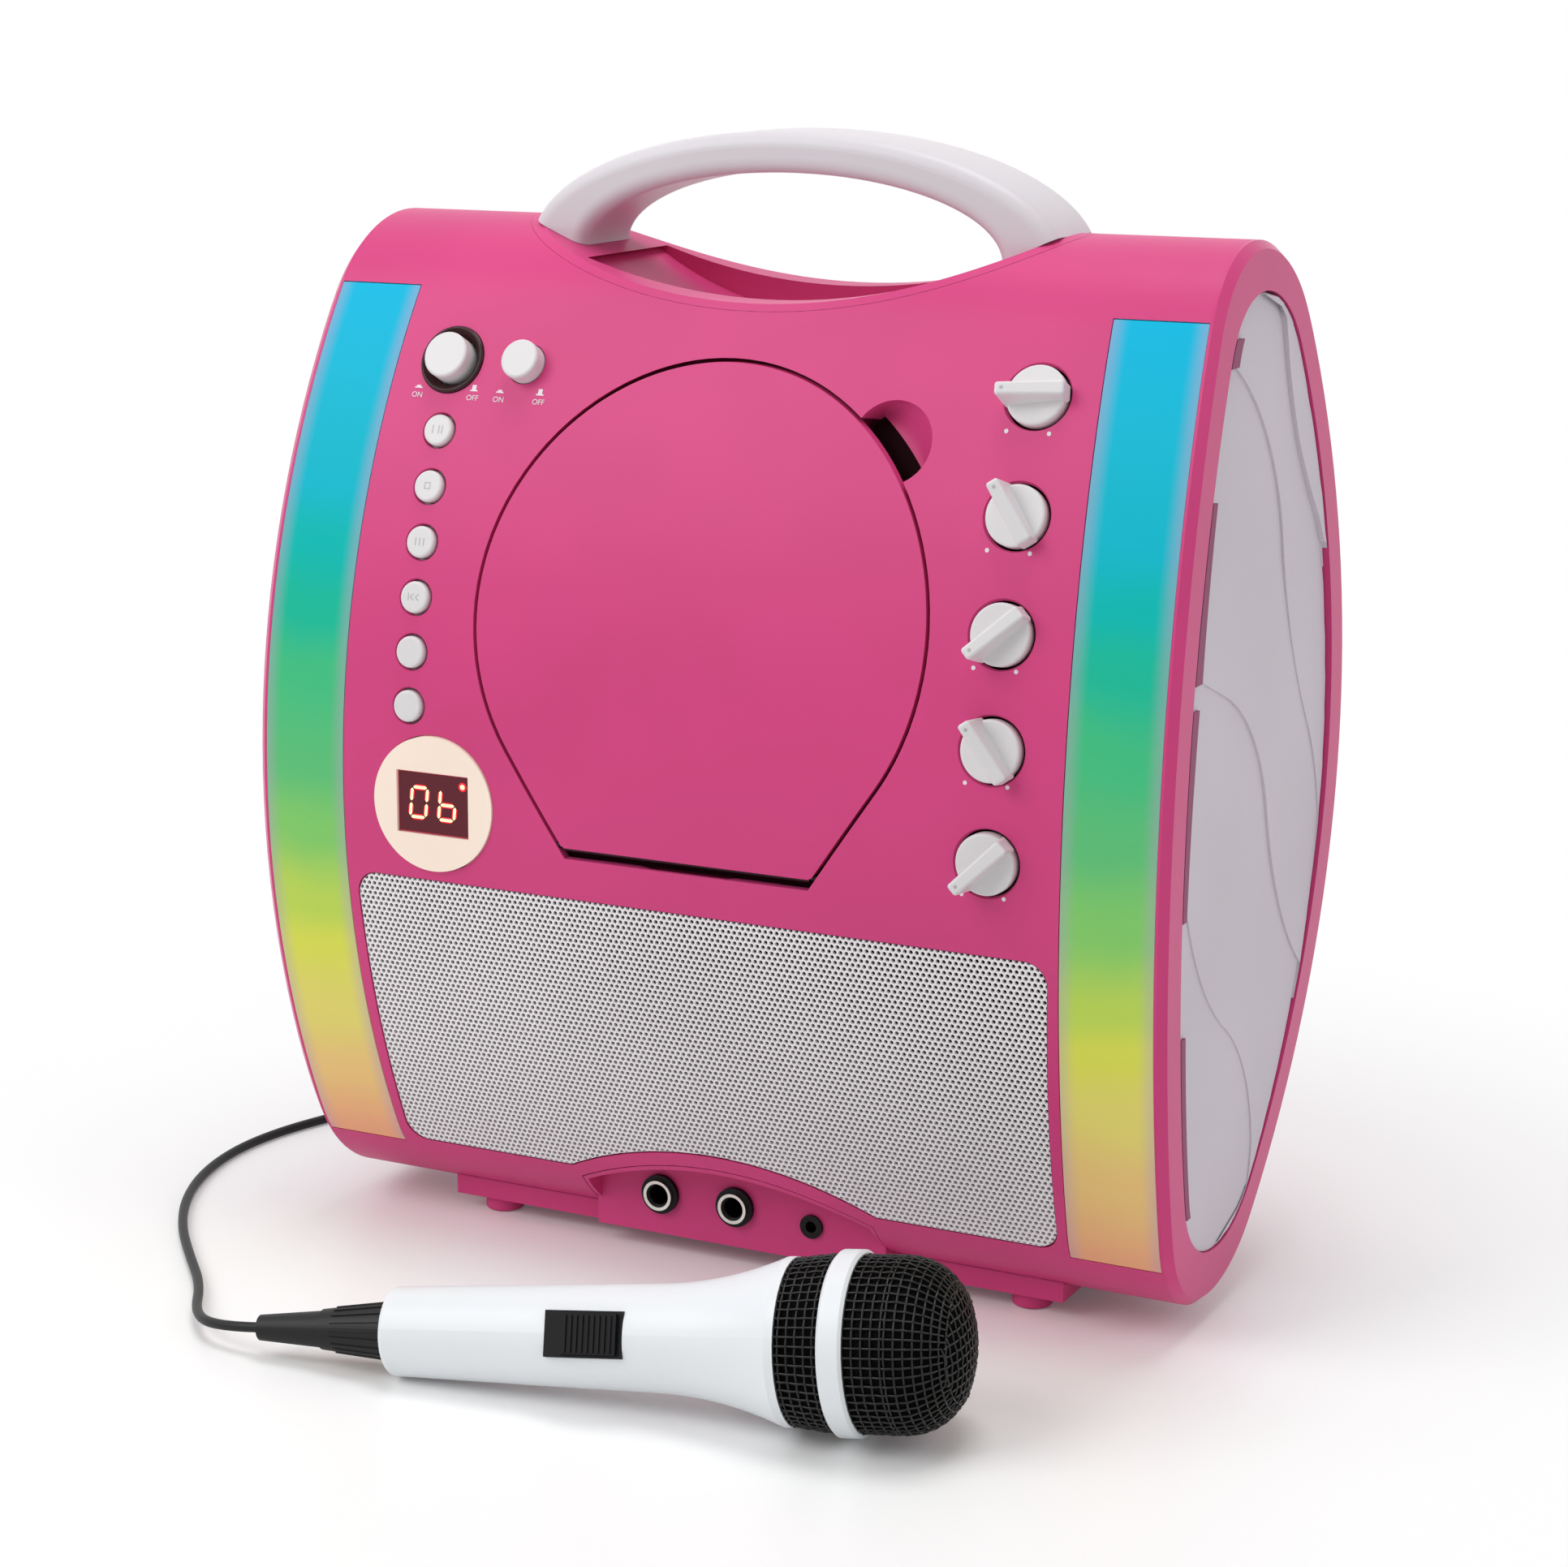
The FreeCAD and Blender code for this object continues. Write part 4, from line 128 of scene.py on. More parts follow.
def grain(tree, shader, scale, height):
    """Fine moulded grain as a bump."""
    coords = tree.nodes.new("ShaderNodeTexCoord")
    noise = tree.nodes.new("ShaderNodeTexNoise")
    noise.inputs["Scale"].default_value = scale
    noise.inputs["Detail"].default_value = GRAIN_DETAIL
    bump = tree.nodes.new("ShaderNodeBump")
    bump.inputs["Strength"].default_value = height
    bump.inputs["Distance"].default_value = GRAIN_DISTANCE
    link(tree, coords.outputs["Object"], noise.inputs["Vector"])
    link(tree, noise.outputs["Fac"], bump.inputs["Height"])
    link(tree, bump.outputs["Normal"], shader.inputs["Normal"])
    return coords


def finish(name, colour, roughness, drift=0.06, scale=900.0, height=0.12, metal=0.0, gloss=0.3):
    """Moulded or painted surface whose colour drifts a little, with a fine grain."""
    made = bpy.data.materials.new(name)
    made.use_nodes = True
    tree = made.node_tree
    shader = tree.nodes["Principled BSDF"]
    shader.inputs["Roughness"].default_value = roughness
    shader.inputs["Metallic"].default_value = metal
    shader.inputs["Specular IOR Level"].default_value = gloss
    coords = grain(tree, shader, scale, height)
    cloud = tree.nodes.new("ShaderNodeTexNoise")
    cloud.inputs["Scale"].default_value = CLOUD_SCALE
    link(tree, coords.outputs["Object"], cloud.inputs["Vector"])
    ramp = tree.nodes.new("ShaderNodeValToRGB")
    low = [max(0.0, channel * (1 - drift)) for channel in colour]
    high = [min(1.0, channel * (1 + drift)) for channel in colour]
    for stop, place, tone in zip(ramp.color_ramp.elements, CLOUD_ENDS, (low, high)):
        stop.position = place
        stop.color = (*tone, 1)
    link(tree, cloud.outputs["Fac"], ramp.inputs["Fac"])
    link(tree, ramp.outputs["Color"], shader.inputs["Base Color"])
    return made


def paint(material, *names):
    for name in names:
        NODES[name].data.materials.clear()
        NODES[name].data.materials.append(material)


def dress(piece, material, body):
    piece.data.materials.append(material)
    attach(piece, body)
    return piece


# Camera at the photograph's viewing angle
CAMERA_PLACE = Vector((0.4672, -0.88624, 0.3924))
CAMERA_TARGET = Vector((0.0, CABINET_Y, 0.1461))
camera_data = bpy.data.cameras.new("camera")
camera_data.sensor_fit = "HORIZONTAL"
camera_data.sensor_width = 36.0
camera_data.lens = 79.94
camera_data.clip_end = 50.0
camera = bpy.data.objects.new("camera", camera_data)
camera.location = CAMERA_PLACE
camera.rotation_euler = (CAMERA_TARGET - CAMERA_PLACE).to_track_quat("-Z", "Y").to_euler()
bpy.context.scene.collection.objects.link(camera)
bpy.context.scene.camera = camera

# Cord from the microphone to the plug: the CAD route's points, then the coil's turns and the tail
CORD_DIAMETER = 0.003
CORD_ROUTE = [
    (-0.09035, -0.11725, 0.00838), (-0.105, -0.11894, 0.0066), (-0.121, -0.10774, 0.0036),
    (-0.136, -0.08424, 0.0018), (-0.154, -0.06524, 0.0015), (-0.171, -0.04624, 0.0015),
    (-0.1845, -0.02624, 0.0015), (-0.194, -0.00474, 0.0015), (-0.1986, 0.01826, 0.0015),
    (-0.197, 0.04026, 0.0015), (-0.190, 0.06226, 0.0015), (-0.179, 0.08576, 0.0015),
    (-0.163, 0.10876, 0.0015), (-0.1415, 0.12776, 0.0015), (-0.115, 0.13656, 0.0017),
    (-0.086, 0.13896, 0.0021), (-0.057, 0.13846, 0.0026), (-0.033, 0.13846, 0.0026)]
TAIL_ROUTE = [(-0.033, 0.18646, 0.01445), (-0.048, 0.18676, 0.0132), (-0.063, 0.18776, 0.0071),
              (-0.075, 0.18796, 0.0059), (-0.078, 0.18796, 0.0059)]
COIL_MIDDLE = Vector((-0.030, 0.16246, 0.0026))
COIL_OUTER = 0.024
COIL_INNER = 0.01215
COIL_PITCH = 0.00395
COIL_TURNS = 3
COIL_LAYERS = 4
CLIMB_TURNS = 0.5
TURN_POINTS = 16


def coil_points():
    """Points of the coil's turns, in layers that spiral in and out."""
    span = COIL_TURNS + CLIMB_TURNS
    total = COIL_LAYERS * COIL_TURNS + (COIL_LAYERS - 1) * CLIMB_TURNS
    swell = 2 / (1 + math.cos(math.pi / TURN_POINTS))
    points = []
    for step in range(int(total * TURN_POINTS) + 1):
        turns = step / TURN_POINTS
        layer = min(int(turns / span), COIL_LAYERS - 1)
        within = turns - layer * span
        wound = min(within, COIL_TURNS) * COIL_PITCH
        radius = COIL_OUTER - wound if layer % 2 == 0 else COIL_INNER + wound
        climb = max(within - COIL_TURNS, 0) / CLIMB_TURNS
        rise = (layer + climb * climb * (3 - 2 * climb)) * COIL_PITCH
        angle = 2 * math.pi * turns - math.pi / 2
        way = Vector((math.cos(angle), math.sin(angle), 0))
        points.append(COIL_MIDDLE + way * radius * swell + Vector((0, 0, rise)))
    return points


cord_curve = bpy.data.curves.new("cord", "CURVE")
cord_curve.dimensions = "3D"
cord_curve.bevel_depth = CORD_DIAMETER / 2
cord_curve.bevel_resolution = 5
cord_curve.resolution_u = 6
cord_curve.use_fill_caps = True
spline = cord_curve.splines.new("NURBS")
cord_points = [Vector(point) for point in CORD_ROUTE] + coil_points()
cord_points += [Vector(point) for point in TAIL_ROUTE]
spline.points.add(len(cord_points) - 1)
for point, place in zip(spline.points, cord_points):
    point.co = (*place, 1)
spline.order_u = 3
spline.use_endpoint_u = True
cord = bpy.data.objects.new("cord", cord_curve)
bpy.context.scene.collection.objects.link(cord)

# Materials
PINK = (0.640, 0.058, 0.215)
SHELL_LOOK = {"roughness": 0.40, "drift": 0.05, "height": 0.05, "gloss": 0.2}
pink = finish("pink_plastic", PINK, **SHELL_LOOK)
pink_frame = finish("pink_frame_plastic", PINK, 0.28, drift=0.04, height=0.03, gloss=0.16)
# frame's pink made darker as painted shade, for the ledges in the side panels' recess
ledge_pink_painted_shade = finish("ledge_painted_shade", (0.300, 0.085, 0.165), 0.5, drift=0.04, height=0.03, gloss=0.1)
# disc deck: a guessed deep pink, made darker than the shell as painted shade so the gap by the door reads
# dark
deck_pink_painted_shade = finish("deck_plastic", (0.280, 0.014, 0.075), 0.45, drift=0.06)
pale = finish("pale_plastic", (0.670, 0.635, 0.670), 0.38, drift=0.03, height=0.05)
panel_white = finish("panel_plastic", (0.640, 0.585, 0.645), 0.50, drift=0.03, height=0.10, gloss=0.15)
button_white = finish("button_plastic", (0.720, 0.705, 0.715), 0.36, drift=0.02, height=0.03)
grille_white = finish("grille_paint", (0.860, 0.825, 0.845), 0.42, drift=0.03, height=0.05)
mic_white = finish("mic_gloss", (0.820, 0.855, 0.880), 0.30, drift=0.015, height=0.01)
black = finish("black_plastic", (0.004, 0.004, 0.005), 0.40, drift=0.2, height=0.15, gloss=0.2)
rubber = finish("cord_rubber", (0.005, 0.005, 0.006), 0.45, drift=0.2, height=0.25, scale=1600.0)
maroon = finish("dark_ring", (0.034, 0.006, 0.008), 0.18, drift=0.2, height=0.02, gloss=0.25)
# near black for sheets set in gaps as painted shade
gap_painted_shade = finish("painted_shade_gap", (0.014, 0.003, 0.005), 0.8, drift=0.1, gloss=0.05)
chrome = finish("bright_ring", (0.62, 0.60, 0.56), 0.22, drift=0.03, metal=1.0, height=0.02)
steel = finish("steel", (0.52, 0.52, 0.54), 0.3, drift=0.06, metal=1.0)
board = finish("circuit_green", (0.03, 0.14, 0.06), 0.5, drift=0.2)
mesh_black = finish("mesh_black", (0.004, 0.004, 0.0035), 0.24, drift=0.25, gloss=0.3)
foam = finish("foam_black", (0.002, 0.002, 0.002), 0.9, drift=0.3, scale=2500.0, height=0.6, gloss=0.1)
cone_grey = finish("cone_paper", (0.05, 0.06, 0.055), 0.8, drift=0.2, height=0.4)
print_white = finish("print_white", (0.80, 0.75, 0.79), 0.5, drift=0.03)
mark_grey = finish("mark_grey", (0.46, 0.45, 0.47), 0.5, drift=0.05)

paint(pink, "front_cabinet", "rear_cabinet", "handle_well", "jack_panel", "base_plinth", "feet",
      "terminal_plate")
# deck's guessed pink darkened as painted shade
paint(deck_pink_painted_shade, "disc_well")
paint(pink_frame, "end_frame_left", "end_frame_right")
paint(pale, "handle", "turntable")
paint(panel_white, "side_panel_left", "side_panel_right")
paint(button_white, "power_button", "lights_button", "play_pause_button", "stop_button", "forward_button",
      "back_button", "repeat_button", "function_button", "volume_knob", "echo_knob", "voice_knob",
      "balance_knob", "mic_volume_knob")
paint(mic_white, "mic_handle", "mic_ring")
paint(black, "mic_switch_plate", "mic_switch", "mic_jacks", "aux_jack", "output_sockets", "power_inlet",
      "optical_pickup", "speaker_frame", "mic_plug", "door_hinge_pins")
paint(rubber, "mic_strain_relief", "coil_tie", "mic_cord", "mic_cord_coil")
paint(maroon, "power_ring")
paint(chrome, "jack_rings")
paint(steel, "guide_rods", "sled_screw", "drive_motors", "case_screws")
paint(board, "control_boards", "light_boards", "main_board")
paint(foam, "mic_head", "speaker_grille")
paint(cone_grey, "speaker_cone")

# Disc door: the lower side of its hinge barrel, in the gap under the door, is painted near black as
# painted shade
BARREL_TOP = 0.1358
BARREL_PAINTED_SHADE = (0.012, 0.002, 0.004)


def door_material():
    made = finish("door_pink_and_painted_shade", PINK, **SHELL_LOOK)
    tree = made.node_tree
    shader = tree.nodes["Principled BSDF"]
    plain = shader.inputs["Base Color"].links[0].from_socket
    coords = tree.nodes.new("ShaderNodeTexCoord")
    parts = tree.nodes.new("ShaderNodeSeparateXYZ")
    link(tree, coords.outputs["Object"], parts.inputs["Vector"])
    # below the barrel's top the door's pink gives way to the painted shade colour
    mixed = tree.nodes.new("ShaderNodeMix")
    mixed.data_type = "RGBA"
    mixed.inputs["A"].default_value = (*BARREL_PAINTED_SHADE, 1)
    link(tree, math_node(tree, "GREATER_THAN", parts.outputs["Z"], BARREL_TOP), mixed.inputs["Factor"])
    link(tree, plain, mixed.inputs["B"])
    link(tree, mixed.outputs["Result"], shader.inputs["Base Color"])
    return made


paint(door_material(), "disc_door")

# Light strips: one colour run from bottom to top, with a paler edge
STRIP_ENDS = (0.0265, 0.2945)
STRIP_MIDDLE = 0.1318
STRIP_FADE = (0.0085, 0.0145)
STRIP_PALE = 0.40
STRIP_EDGE = (0.40, 0.30, 0.46)
STRIP_GLOW = 0.15
STRIP_ROUGHNESS = 0.42
STRIP_GLOSS = 0.1
STRIP_GRAIN = (700.0, 0.08)
STRIP_CLOUD = 16.0
STRIP_DRIFT = 0.10
STRIP_STOPS = [
    (0.0, (0.75, 0.35, 0.20)), (0.10, (0.74, 0.50, 0.19)), (0.177, (0.68, 0.60, 0.15)),
    (0.253, (0.61, 0.64, 0.085)), (0.313, (0.44, 0.60, 0.09)), (0.398, (0.20, 0.53, 0.13)),
    (0.483, (0.10, 0.47, 0.17)), (0.585, (0.05, 0.46, 0.20)), (0.653, (0.01, 0.43, 0.28)),
    (0.72, (0.0, 0.42, 0.39)), (0.79, (0.0, 0.41, 0.52)), (1.0, (0.0, 0.41, 0.63))]


def glow_material():
    made = bpy.data.materials.new("strip_glow")
    made.use_nodes = True
    tree = made.node_tree
    shader = tree.nodes["Principled BSDF"]
    shader.inputs["Roughness"].default_value = STRIP_ROUGHNESS
    shader.inputs["Specular IOR Level"].default_value = STRIP_GLOSS
    shader.inputs["Emission Strength"].default_value = STRIP_GLOW
    coords = grain(tree, shader, *STRIP_GRAIN)
    parts = tree.nodes.new("ShaderNodeSeparateXYZ")
    link(tree, coords.outputs["Object"], parts.inputs["Vector"])
    span = tree.nodes.new("ShaderNodeMapRange")
    span.inputs["From Min"].default_value = STRIP_ENDS[0]
    span.inputs["From Max"].default_value = STRIP_ENDS[1]
    link(tree, parts.outputs["Z"], span.inputs["Value"])
    cloud = tree.nodes.new("ShaderNodeTexNoise")
    cloud.inputs["Scale"].default_value = STRIP_CLOUD
    link(tree, coords.outputs["Object"], cloud.inputs["Vector"])
    drift = math_node(tree, "SUBTRACT", cloud.outputs["Fac"], 0.5)
    drift = math_node(tree, "MULTIPLY", drift, STRIP_DRIFT)
    ramp = tree.nodes.new("ShaderNodeValToRGB")
    ramp.color_ramp.interpolation = "EASE"
    first, last = ramp.color_ramp.elements
    for stop, (place, colour) in zip((first, last), (STRIP_STOPS[0], STRIP_STOPS[-1])):
        stop.position = place
        stop.color = (*colour, 1)
    for place, colour in STRIP_STOPS[1:-1]:
        ramp.color_ramp.elements.new(place).color = (*colour, 1)
    link(tree, math_node(tree, "ADD", span.outputs["Result"], drift), ramp.inputs["Fac"])
    # distance from the strip's middle line, which follows the bulging end
    off = math_node(tree, "SUBTRACT", parts.outputs["Z"], END_PEAK)
    bulge = math_node(tree, "MULTIPLY", math_node(tree, "MULTIPLY", off, off), 1 / (2 * END_CURVE))
    along = math_node(tree, "ADD", math_node(tree, "ABSOLUTE", parts.outputs["X"]), bulge)
    edge = math_node(tree, "ABSOLUTE", math_node(tree, "SUBTRACT", along, STRIP_MIDDLE))
    fade = tree.nodes.new("ShaderNodeMapRange")
    fade.interpolation_type = "SMOOTHSTEP"
    fade.inputs["From Min"].default_value = STRIP_FADE[0]
    fade.inputs["From Max"].default_value = STRIP_FADE[1]
    fade.inputs["To Max"].default_value = STRIP_PALE
    link(tree, edge, fade.inputs["Value"])
    mixed = tree.nodes.new("ShaderNodeMix")
    mixed.data_type = "RGBA"
    mixed.inputs["B"].default_value = (*STRIP_EDGE, 1)
    link(tree, fade.outputs["Result"], mixed.inputs["Factor"])
    link(tree, ramp.outputs["Color"], mixed.inputs["A"])
    link(tree, mixed.outputs["Result"], shader.inputs["Base Color"])
    link(tree, mixed.outputs["Result"], shader.inputs["Emission Color"])
    return made


paint(glow_material(), "light_strip_left", "light_strip_right")


# Display: cream window that glows, dark red module and red segments
def glowing(name, colour, strength, roughness=0.3):
    made = finish(name, colour, roughness, drift=0.03, height=0.02)
    shader = made.node_tree.nodes["Principled BSDF"]
    shader.inputs["Emission Color"].default_value = (*colour, 1)
    shader.inputs["Emission Strength"].default_value = strength
    return made


cream = glowing("display_cream", (0.86, 0.72, 0.61), 0.16)
module_red = glowing("digit_module", (0.085, 0.004, 0.012), 0.25, 0.2)
halo_red = glowing("digit_halo", (0.75, 0.008, 0.025), 0.8)
segment_core = glowing("digit_segments", (1.0, 0.74, 0.40), 0.9)
border_red = glowing("digit_border", (0.40, 0.03, 0.06), 0.3)
paint(cream, "display_window")
paint(module_red, "digit_display")


def raised(name, shapes, place, lift, thick):
    """Flat shapes with a little thickness; place turns two lengths and a height into a point."""
    verts = []
    faces = []
    for shape in shapes:
        first = len(verts)
        count = len(shape)
        for out in (lift, lift + thick):
            verts += [place(a, b, out) for a, b in shape]
        faces.append(tuple(range(first + count, first + 2 * count)))
        for number in range(count):
            after = (number + 1) % count
            faces.append((first + number, first + after, first + count + after, first + count + number))
    return mesh_object(name, verts, faces)


def face_axes(rise):
    """The front face's own up and outward ways at a height."""
    slope = math.asin((rise - FRONT_PEAK) / FRONT_CURVE)
    return (Vector((0, math.sin(slope), math.cos(slope))), Vector((0, -math.cos(slope), math.sin(slope))))


def flat_on(x, rise, turn=0.0, tilt=0.0):
    """Places points on a flat face that touches the front at one point, turned and tilted if asked."""
    up, out_way = face_axes(rise)
    along = Vector((math.cos(turn), 0, 0)) + up * math.sin(turn)
    across = Vector((-math.sin(turn), 0, 0)) + up * math.cos(turn)
    middle = front_point(x, rise)
    return lambda a, b, out: middle + along * a + across * b + out_way * (out + a * tilt)


def disc_shape(x, rise, radius, sides=20):
    angles = [2 * math.pi * step / sides for step in range(sides)]
    return [(x + radius * math.cos(angle), rise + radius * math.sin(angle)) for angle in angles]


def bar_shape(x, rise, half_wide, half_high):
    return [(x - half_wide, rise - half_high), (x + half_wide, rise - half_high),
            (x + half_wide, rise + half_high), (x - half_wide, rise + half_high)]


# Two digits of seven bars each, with a red glow round the lit ones
DIGIT_HALF = 0.0027
DIGIT_HIGH = 0.0046
DIGIT_SLANT = 0.1
DIGIT_SINK = 0.0004
SEGMENT_GAP = 0.0003
SEGMENTS_ON = {"0": "abcdef", "6": "cdefg"}
MODULE_HALF = (0.0125, 0.0095)
LAMP_PLACE = (0.0102, 0.0062)
DIGIT_PLACES = {"0": -0.0052, "6": 0.0048}
HALO_HALF = 0.00085
HALO_LAMP = 0.0014
HALO_LIFT = 0.00002
CORE_HALF = 0.00046
CORE_LAMP = 0.0008
CORE_LIFT = 0.00008
BORDER = 0.00018
PATCH_THICK = 0.00003


def segment_shapes(digit, middle, wide):
    """Lit segments of one digit, as slim six-sided bars."""
    places = {"a": (0, DIGIT_HIGH, 0), "g": (0, 0, 0), "d": (0, -DIGIT_HIGH, 0),
              "f": (-DIGIT_HALF, DIGIT_HIGH / 2, 1), "b": (DIGIT_HALF, DIGIT_HIGH / 2, 1),
              "e": (-DIGIT_HALF, -DIGIT_HIGH / 2, 1), "c": (DIGIT_HALF, -DIGIT_HIGH / 2, 1)}
    shapes = []
    for letter in SEGMENTS_ON[digit]:
        x, rise, upright = places[letter]
        half = (DIGIT_HIGH / 2 if upright else DIGIT_HALF) - SEGMENT_GAP
        bar = [(-half, 0), (-half + wide, -wide), (half - wide, -wide), (half, 0), (half - wide, wide),
               (-half + wide, wide)]
        if upright:
            bar = [(-across, along) for along, across in bar]
        shapes.append([(middle + x + a + DIGIT_SLANT * (rise + b), rise + b) for a, b in bar])
    return shapes


def display_patch(name, material, shapes, lift):
    made = raised(name, shapes, flat_on(DISPLAY_X, DISPLAY_RISE), lift - DIGIT_SINK, PATCH_THICK)
    dress(made, material, "machine")


def digit_pair(wide, lamp_radius):
    """Both digits and the small lamp, in one breadth of line."""
    shapes = [disc_shape(*LAMP_PLACE, lamp_radius)]
    for digit, middle in DIGIT_PLACES.items():
        shapes += segment_shapes(digit, middle, wide)
    return shapes


display_patch("digit_halo", halo_red, digit_pair(HALO_HALF, HALO_LAMP), HALO_LIFT)
display_patch("digit_segments", segment_core, digit_pair(CORE_HALF, CORE_LAMP), CORE_LIFT)
border_bars = []
for side in (-1, 1):
    border_bars.append(bar_shape(0, side * (MODULE_HALF[1] - BORDER), MODULE_HALF[0], BORDER))
    border_bars.append(bar_shape(side * (MODULE_HALF[0] - BORDER), 0, BORDER, MODULE_HALF[1]))
display_patch("digit_border", border_red, border_bars, HALO_LIFT)

# Printed dots under the knobs, and a small dimple on each knob's pointer
PRINT_THICK = 0.00004
DOT_SIDES = 14
DOT_RADIUS = 0.00062
DOT_DROP = 0.0095
DOT_PLACES = (-0.0074, 0.0054)
DIMPLE_RADIUS = 0.00055
POINTER_REACH = 0.0074
POINTER_RISE = 0.00919
POINTER_SLOPE = 0.194
dots = [disc_shape(KNOB_X + across, rise - DOT_DROP, DOT_RADIUS, DOT_SIDES)
        for rise in KNOB_RISES for across in DOT_PLACES]
dress(raised("knob_dots", dots, front_point, 0.0, PRINT_THICK), print_white, "machine")
for name, rise, angle in zip(KNOB_NAMES, KNOB_RISES, KNOB_ANGLES):
    place = flat_on(KNOB_X, rise, math.radians(angle), POINTER_SLOPE)
    lift = POINTER_RISE - POINTER_REACH * POINTER_SLOPE
    dimple = disc_shape(POINTER_REACH, 0, DIMPLE_RADIUS, DOT_SIDES)
    dimple = raised(f"{name}_dimple", [dimple], place, lift, PRINT_THICK)
    dress(dimple, mark_grey, name)

# Plain player signs, moulded on the first four small buttons
BUTTON_FACE = 0.0013
BUTTON_SIGNS = {
    "play_pause_button": [bar_shape(x, 0, 0.00017, 0.0013) for x in (-0.0015, 0.0006, 0.0017)],
    "stop_button": [bar_shape(x, 0, 0.00015, 0.0009) for x in (-0.0009, 0.0009)]
                   + [bar_shape(0, rise, 0.00105, 0.00015) for rise in (-0.0009, 0.0009)],
    "forward_button": [bar_shape(x, 0, 0.00017, 0.0012) for x in (-0.0014, 0.0, 0.0014)],
    "back_button": [[(x, 0), (x + 0.0012, -0.0011), (x + 0.0015, -0.0009), (x + 0.0005, 0),
                     (x + 0.0015, 0.0009), (x + 0.0012, 0.0011)] for x in (-0.0014, 0.0004)]
                   + [bar_shape(-0.0018, 0, 0.00015, 0.0011)]}
for step, (name, signs) in enumerate(BUTTON_SIGNS.items()):
    place = flat_on(BUTTON_X, BUTTON_TOP - step * BUTTON_PITCH)
    sign = raised(f"{name}_sign", signs, place, BUTTON_FACE, PRINT_THICK)
    dress(sign, mark_grey, name)

# ON and OFF with the usual signs of a button that is in or out
WORD_SIZE = 0.0024
WORD_LIFT = 0.00008
WORD_THICK = 0.00003
WORD_DROP = 0.0112
SIGN_DROP = 0.0084
SIGN_BAR = (0.0013, 0.00018)
SIGN_HALF = 0.0007
WORD_PLACES = ((POWER_X, 0.0097), (LIGHTS_X, 0.0069))
SIGN_WORDS = ((-1, "ON", 0.00025), (1, "OFF", SIGN_HALF))


def face_text(name, words, x, rise):
    """Generic word printed on the front face."""
    curve = bpy.data.curves.new(name, "FONT")
    curve.body = words
    curve.size = WORD_SIZE
    curve.align_x = "CENTER"
    curve.extrude = WORD_THICK
    made = bpy.data.objects.new(name, curve)
    bpy.context.scene.collection.objects.link(made)
    made.location = front_point(x, rise, WORD_LIFT)
    slope = math.asin((rise - FRONT_PEAK) / FRONT_CURVE)
    made.rotation_euler = (math.pi / 2 - slope, 0, 0)
    return dress(made, print_white, "machine")


for number, (x, away) in enumerate(WORD_PLACES):
    signs = []
    for side, words, half in SIGN_WORDS:
        place = x + side * away
        face_text(f"{words.lower()}_mark_{number}", words, place, POWER_RISE - WORD_DROP)
        signs.append(bar_shape(place, POWER_RISE - SIGN_DROP, *SIGN_BAR))
        signs.append(bar_shape(place, POWER_RISE - SIGN_DROP + SIGN_BAR[1] + half, SIGN_HALF, half))
    signs = raised(f"press_signs_{number}", signs, front_point, 0.0, PRINT_THICK)
    dress(signs, print_white, "machine")

# Thin shells between two faces, from rows of outer and inner points
SLAB_MERGE = 2e-6


def face_pair(spot, depth, thick):
    """Outer and inner points of a shell at a depth under the front face."""
    return [front_point(*spot, -deep) for deep in (depth, depth + thick)]


def slab_mesh(name, rows):
    count = len(rows[0])
    last = len(rows) - 1
    below = len(rows) * count
    made = bmesh.new()
    corners = [made.verts.new(pair[face]) for face in (0, 1) for row in rows for pair in row]
    rim = [row * count for row in range(last)]
    rim += [last * count + column for column in range(count - 1)]
    rim += [row * count + count - 1 for row in range(last, 0, -1)]
    rim += list(range(count - 1, 0, -1))
    loops = []
    for row in range(last):
        for column in range(count - 1):
            first = row * count + column
            loop = (first, first + 1, first + count + 1, first + count)
            loops += [loop, tuple(below + number for number in reversed(loop))]
    for first, after in zip(rim, rim[1:] + rim[:1]):
        loops.append((first, after, below + after, below + first))
    for loop in loops:
        made.faces.new([corners[number] for number in loop])
    bmesh.ops.remove_doubles(made, verts=made.verts[:], dist=SLAB_MERGE)
    bmesh.ops.dissolve_degenerate(made, dist=SLAB_MERGE, edges=made.edges[:])
    bmesh.ops.recalc_face_normals(made, faces=made.faces[:])
    return bmesh_object(name, made)


# Finger scoop beside the door: a dished floor that falls towards the dark gap at the door
DOOR_PLACE = Vector((0.0, DOOR_RISE))
NOTCH_PLACE = Vector((0.054, 0.259))
NOTCH_RADIUS = 0.0123
SCOOP_REACH = 0.0785
SCOOP_LIP = 0.0004
SCOOP_DEPTH = 0.0075
SCOOP_THICK = 0.0012
SCOOP_STEPS = 10
SCOOP_SPOKES = 72
SCOOP_CREASE = math.radians(40)


def scoop_rows():
    rows = []
    for spoke in range(SCOOP_SPOKES + 1):
        angle = 2 * math.pi * spoke / SCOOP_SPOKES - math.pi
        rim = NOTCH_PLACE + NOTCH_RADIUS * Vector((math.cos(angle), math.sin(angle)))
        way = rim - DOOR_PLACE
        if way.length < SCOOP_REACH + SCOOP_LIP:
            continue
        inner = DOOR_PLACE + way.normalized() * SCOOP_REACH
        row = []
        for step in range(SCOOP_STEPS + 1):
            share = step / SCOOP_STEPS
            depth = SCOOP_LIP + SCOOP_DEPTH * (1 - (1 - share) ** 2)
            row.append(face_pair(rim.lerp(inner, share), depth, SCOOP_THICK))
        rows.append(row)
    return rows


scoop = dress(slab_mesh("finger_scoop", scoop_rows()), pink, "machine")
for polygon in scoop.data.polygons:
    polygon.use_smooth = True
scoop.data.set_sharp_from_angle(angle=SCOOP_CREASE)

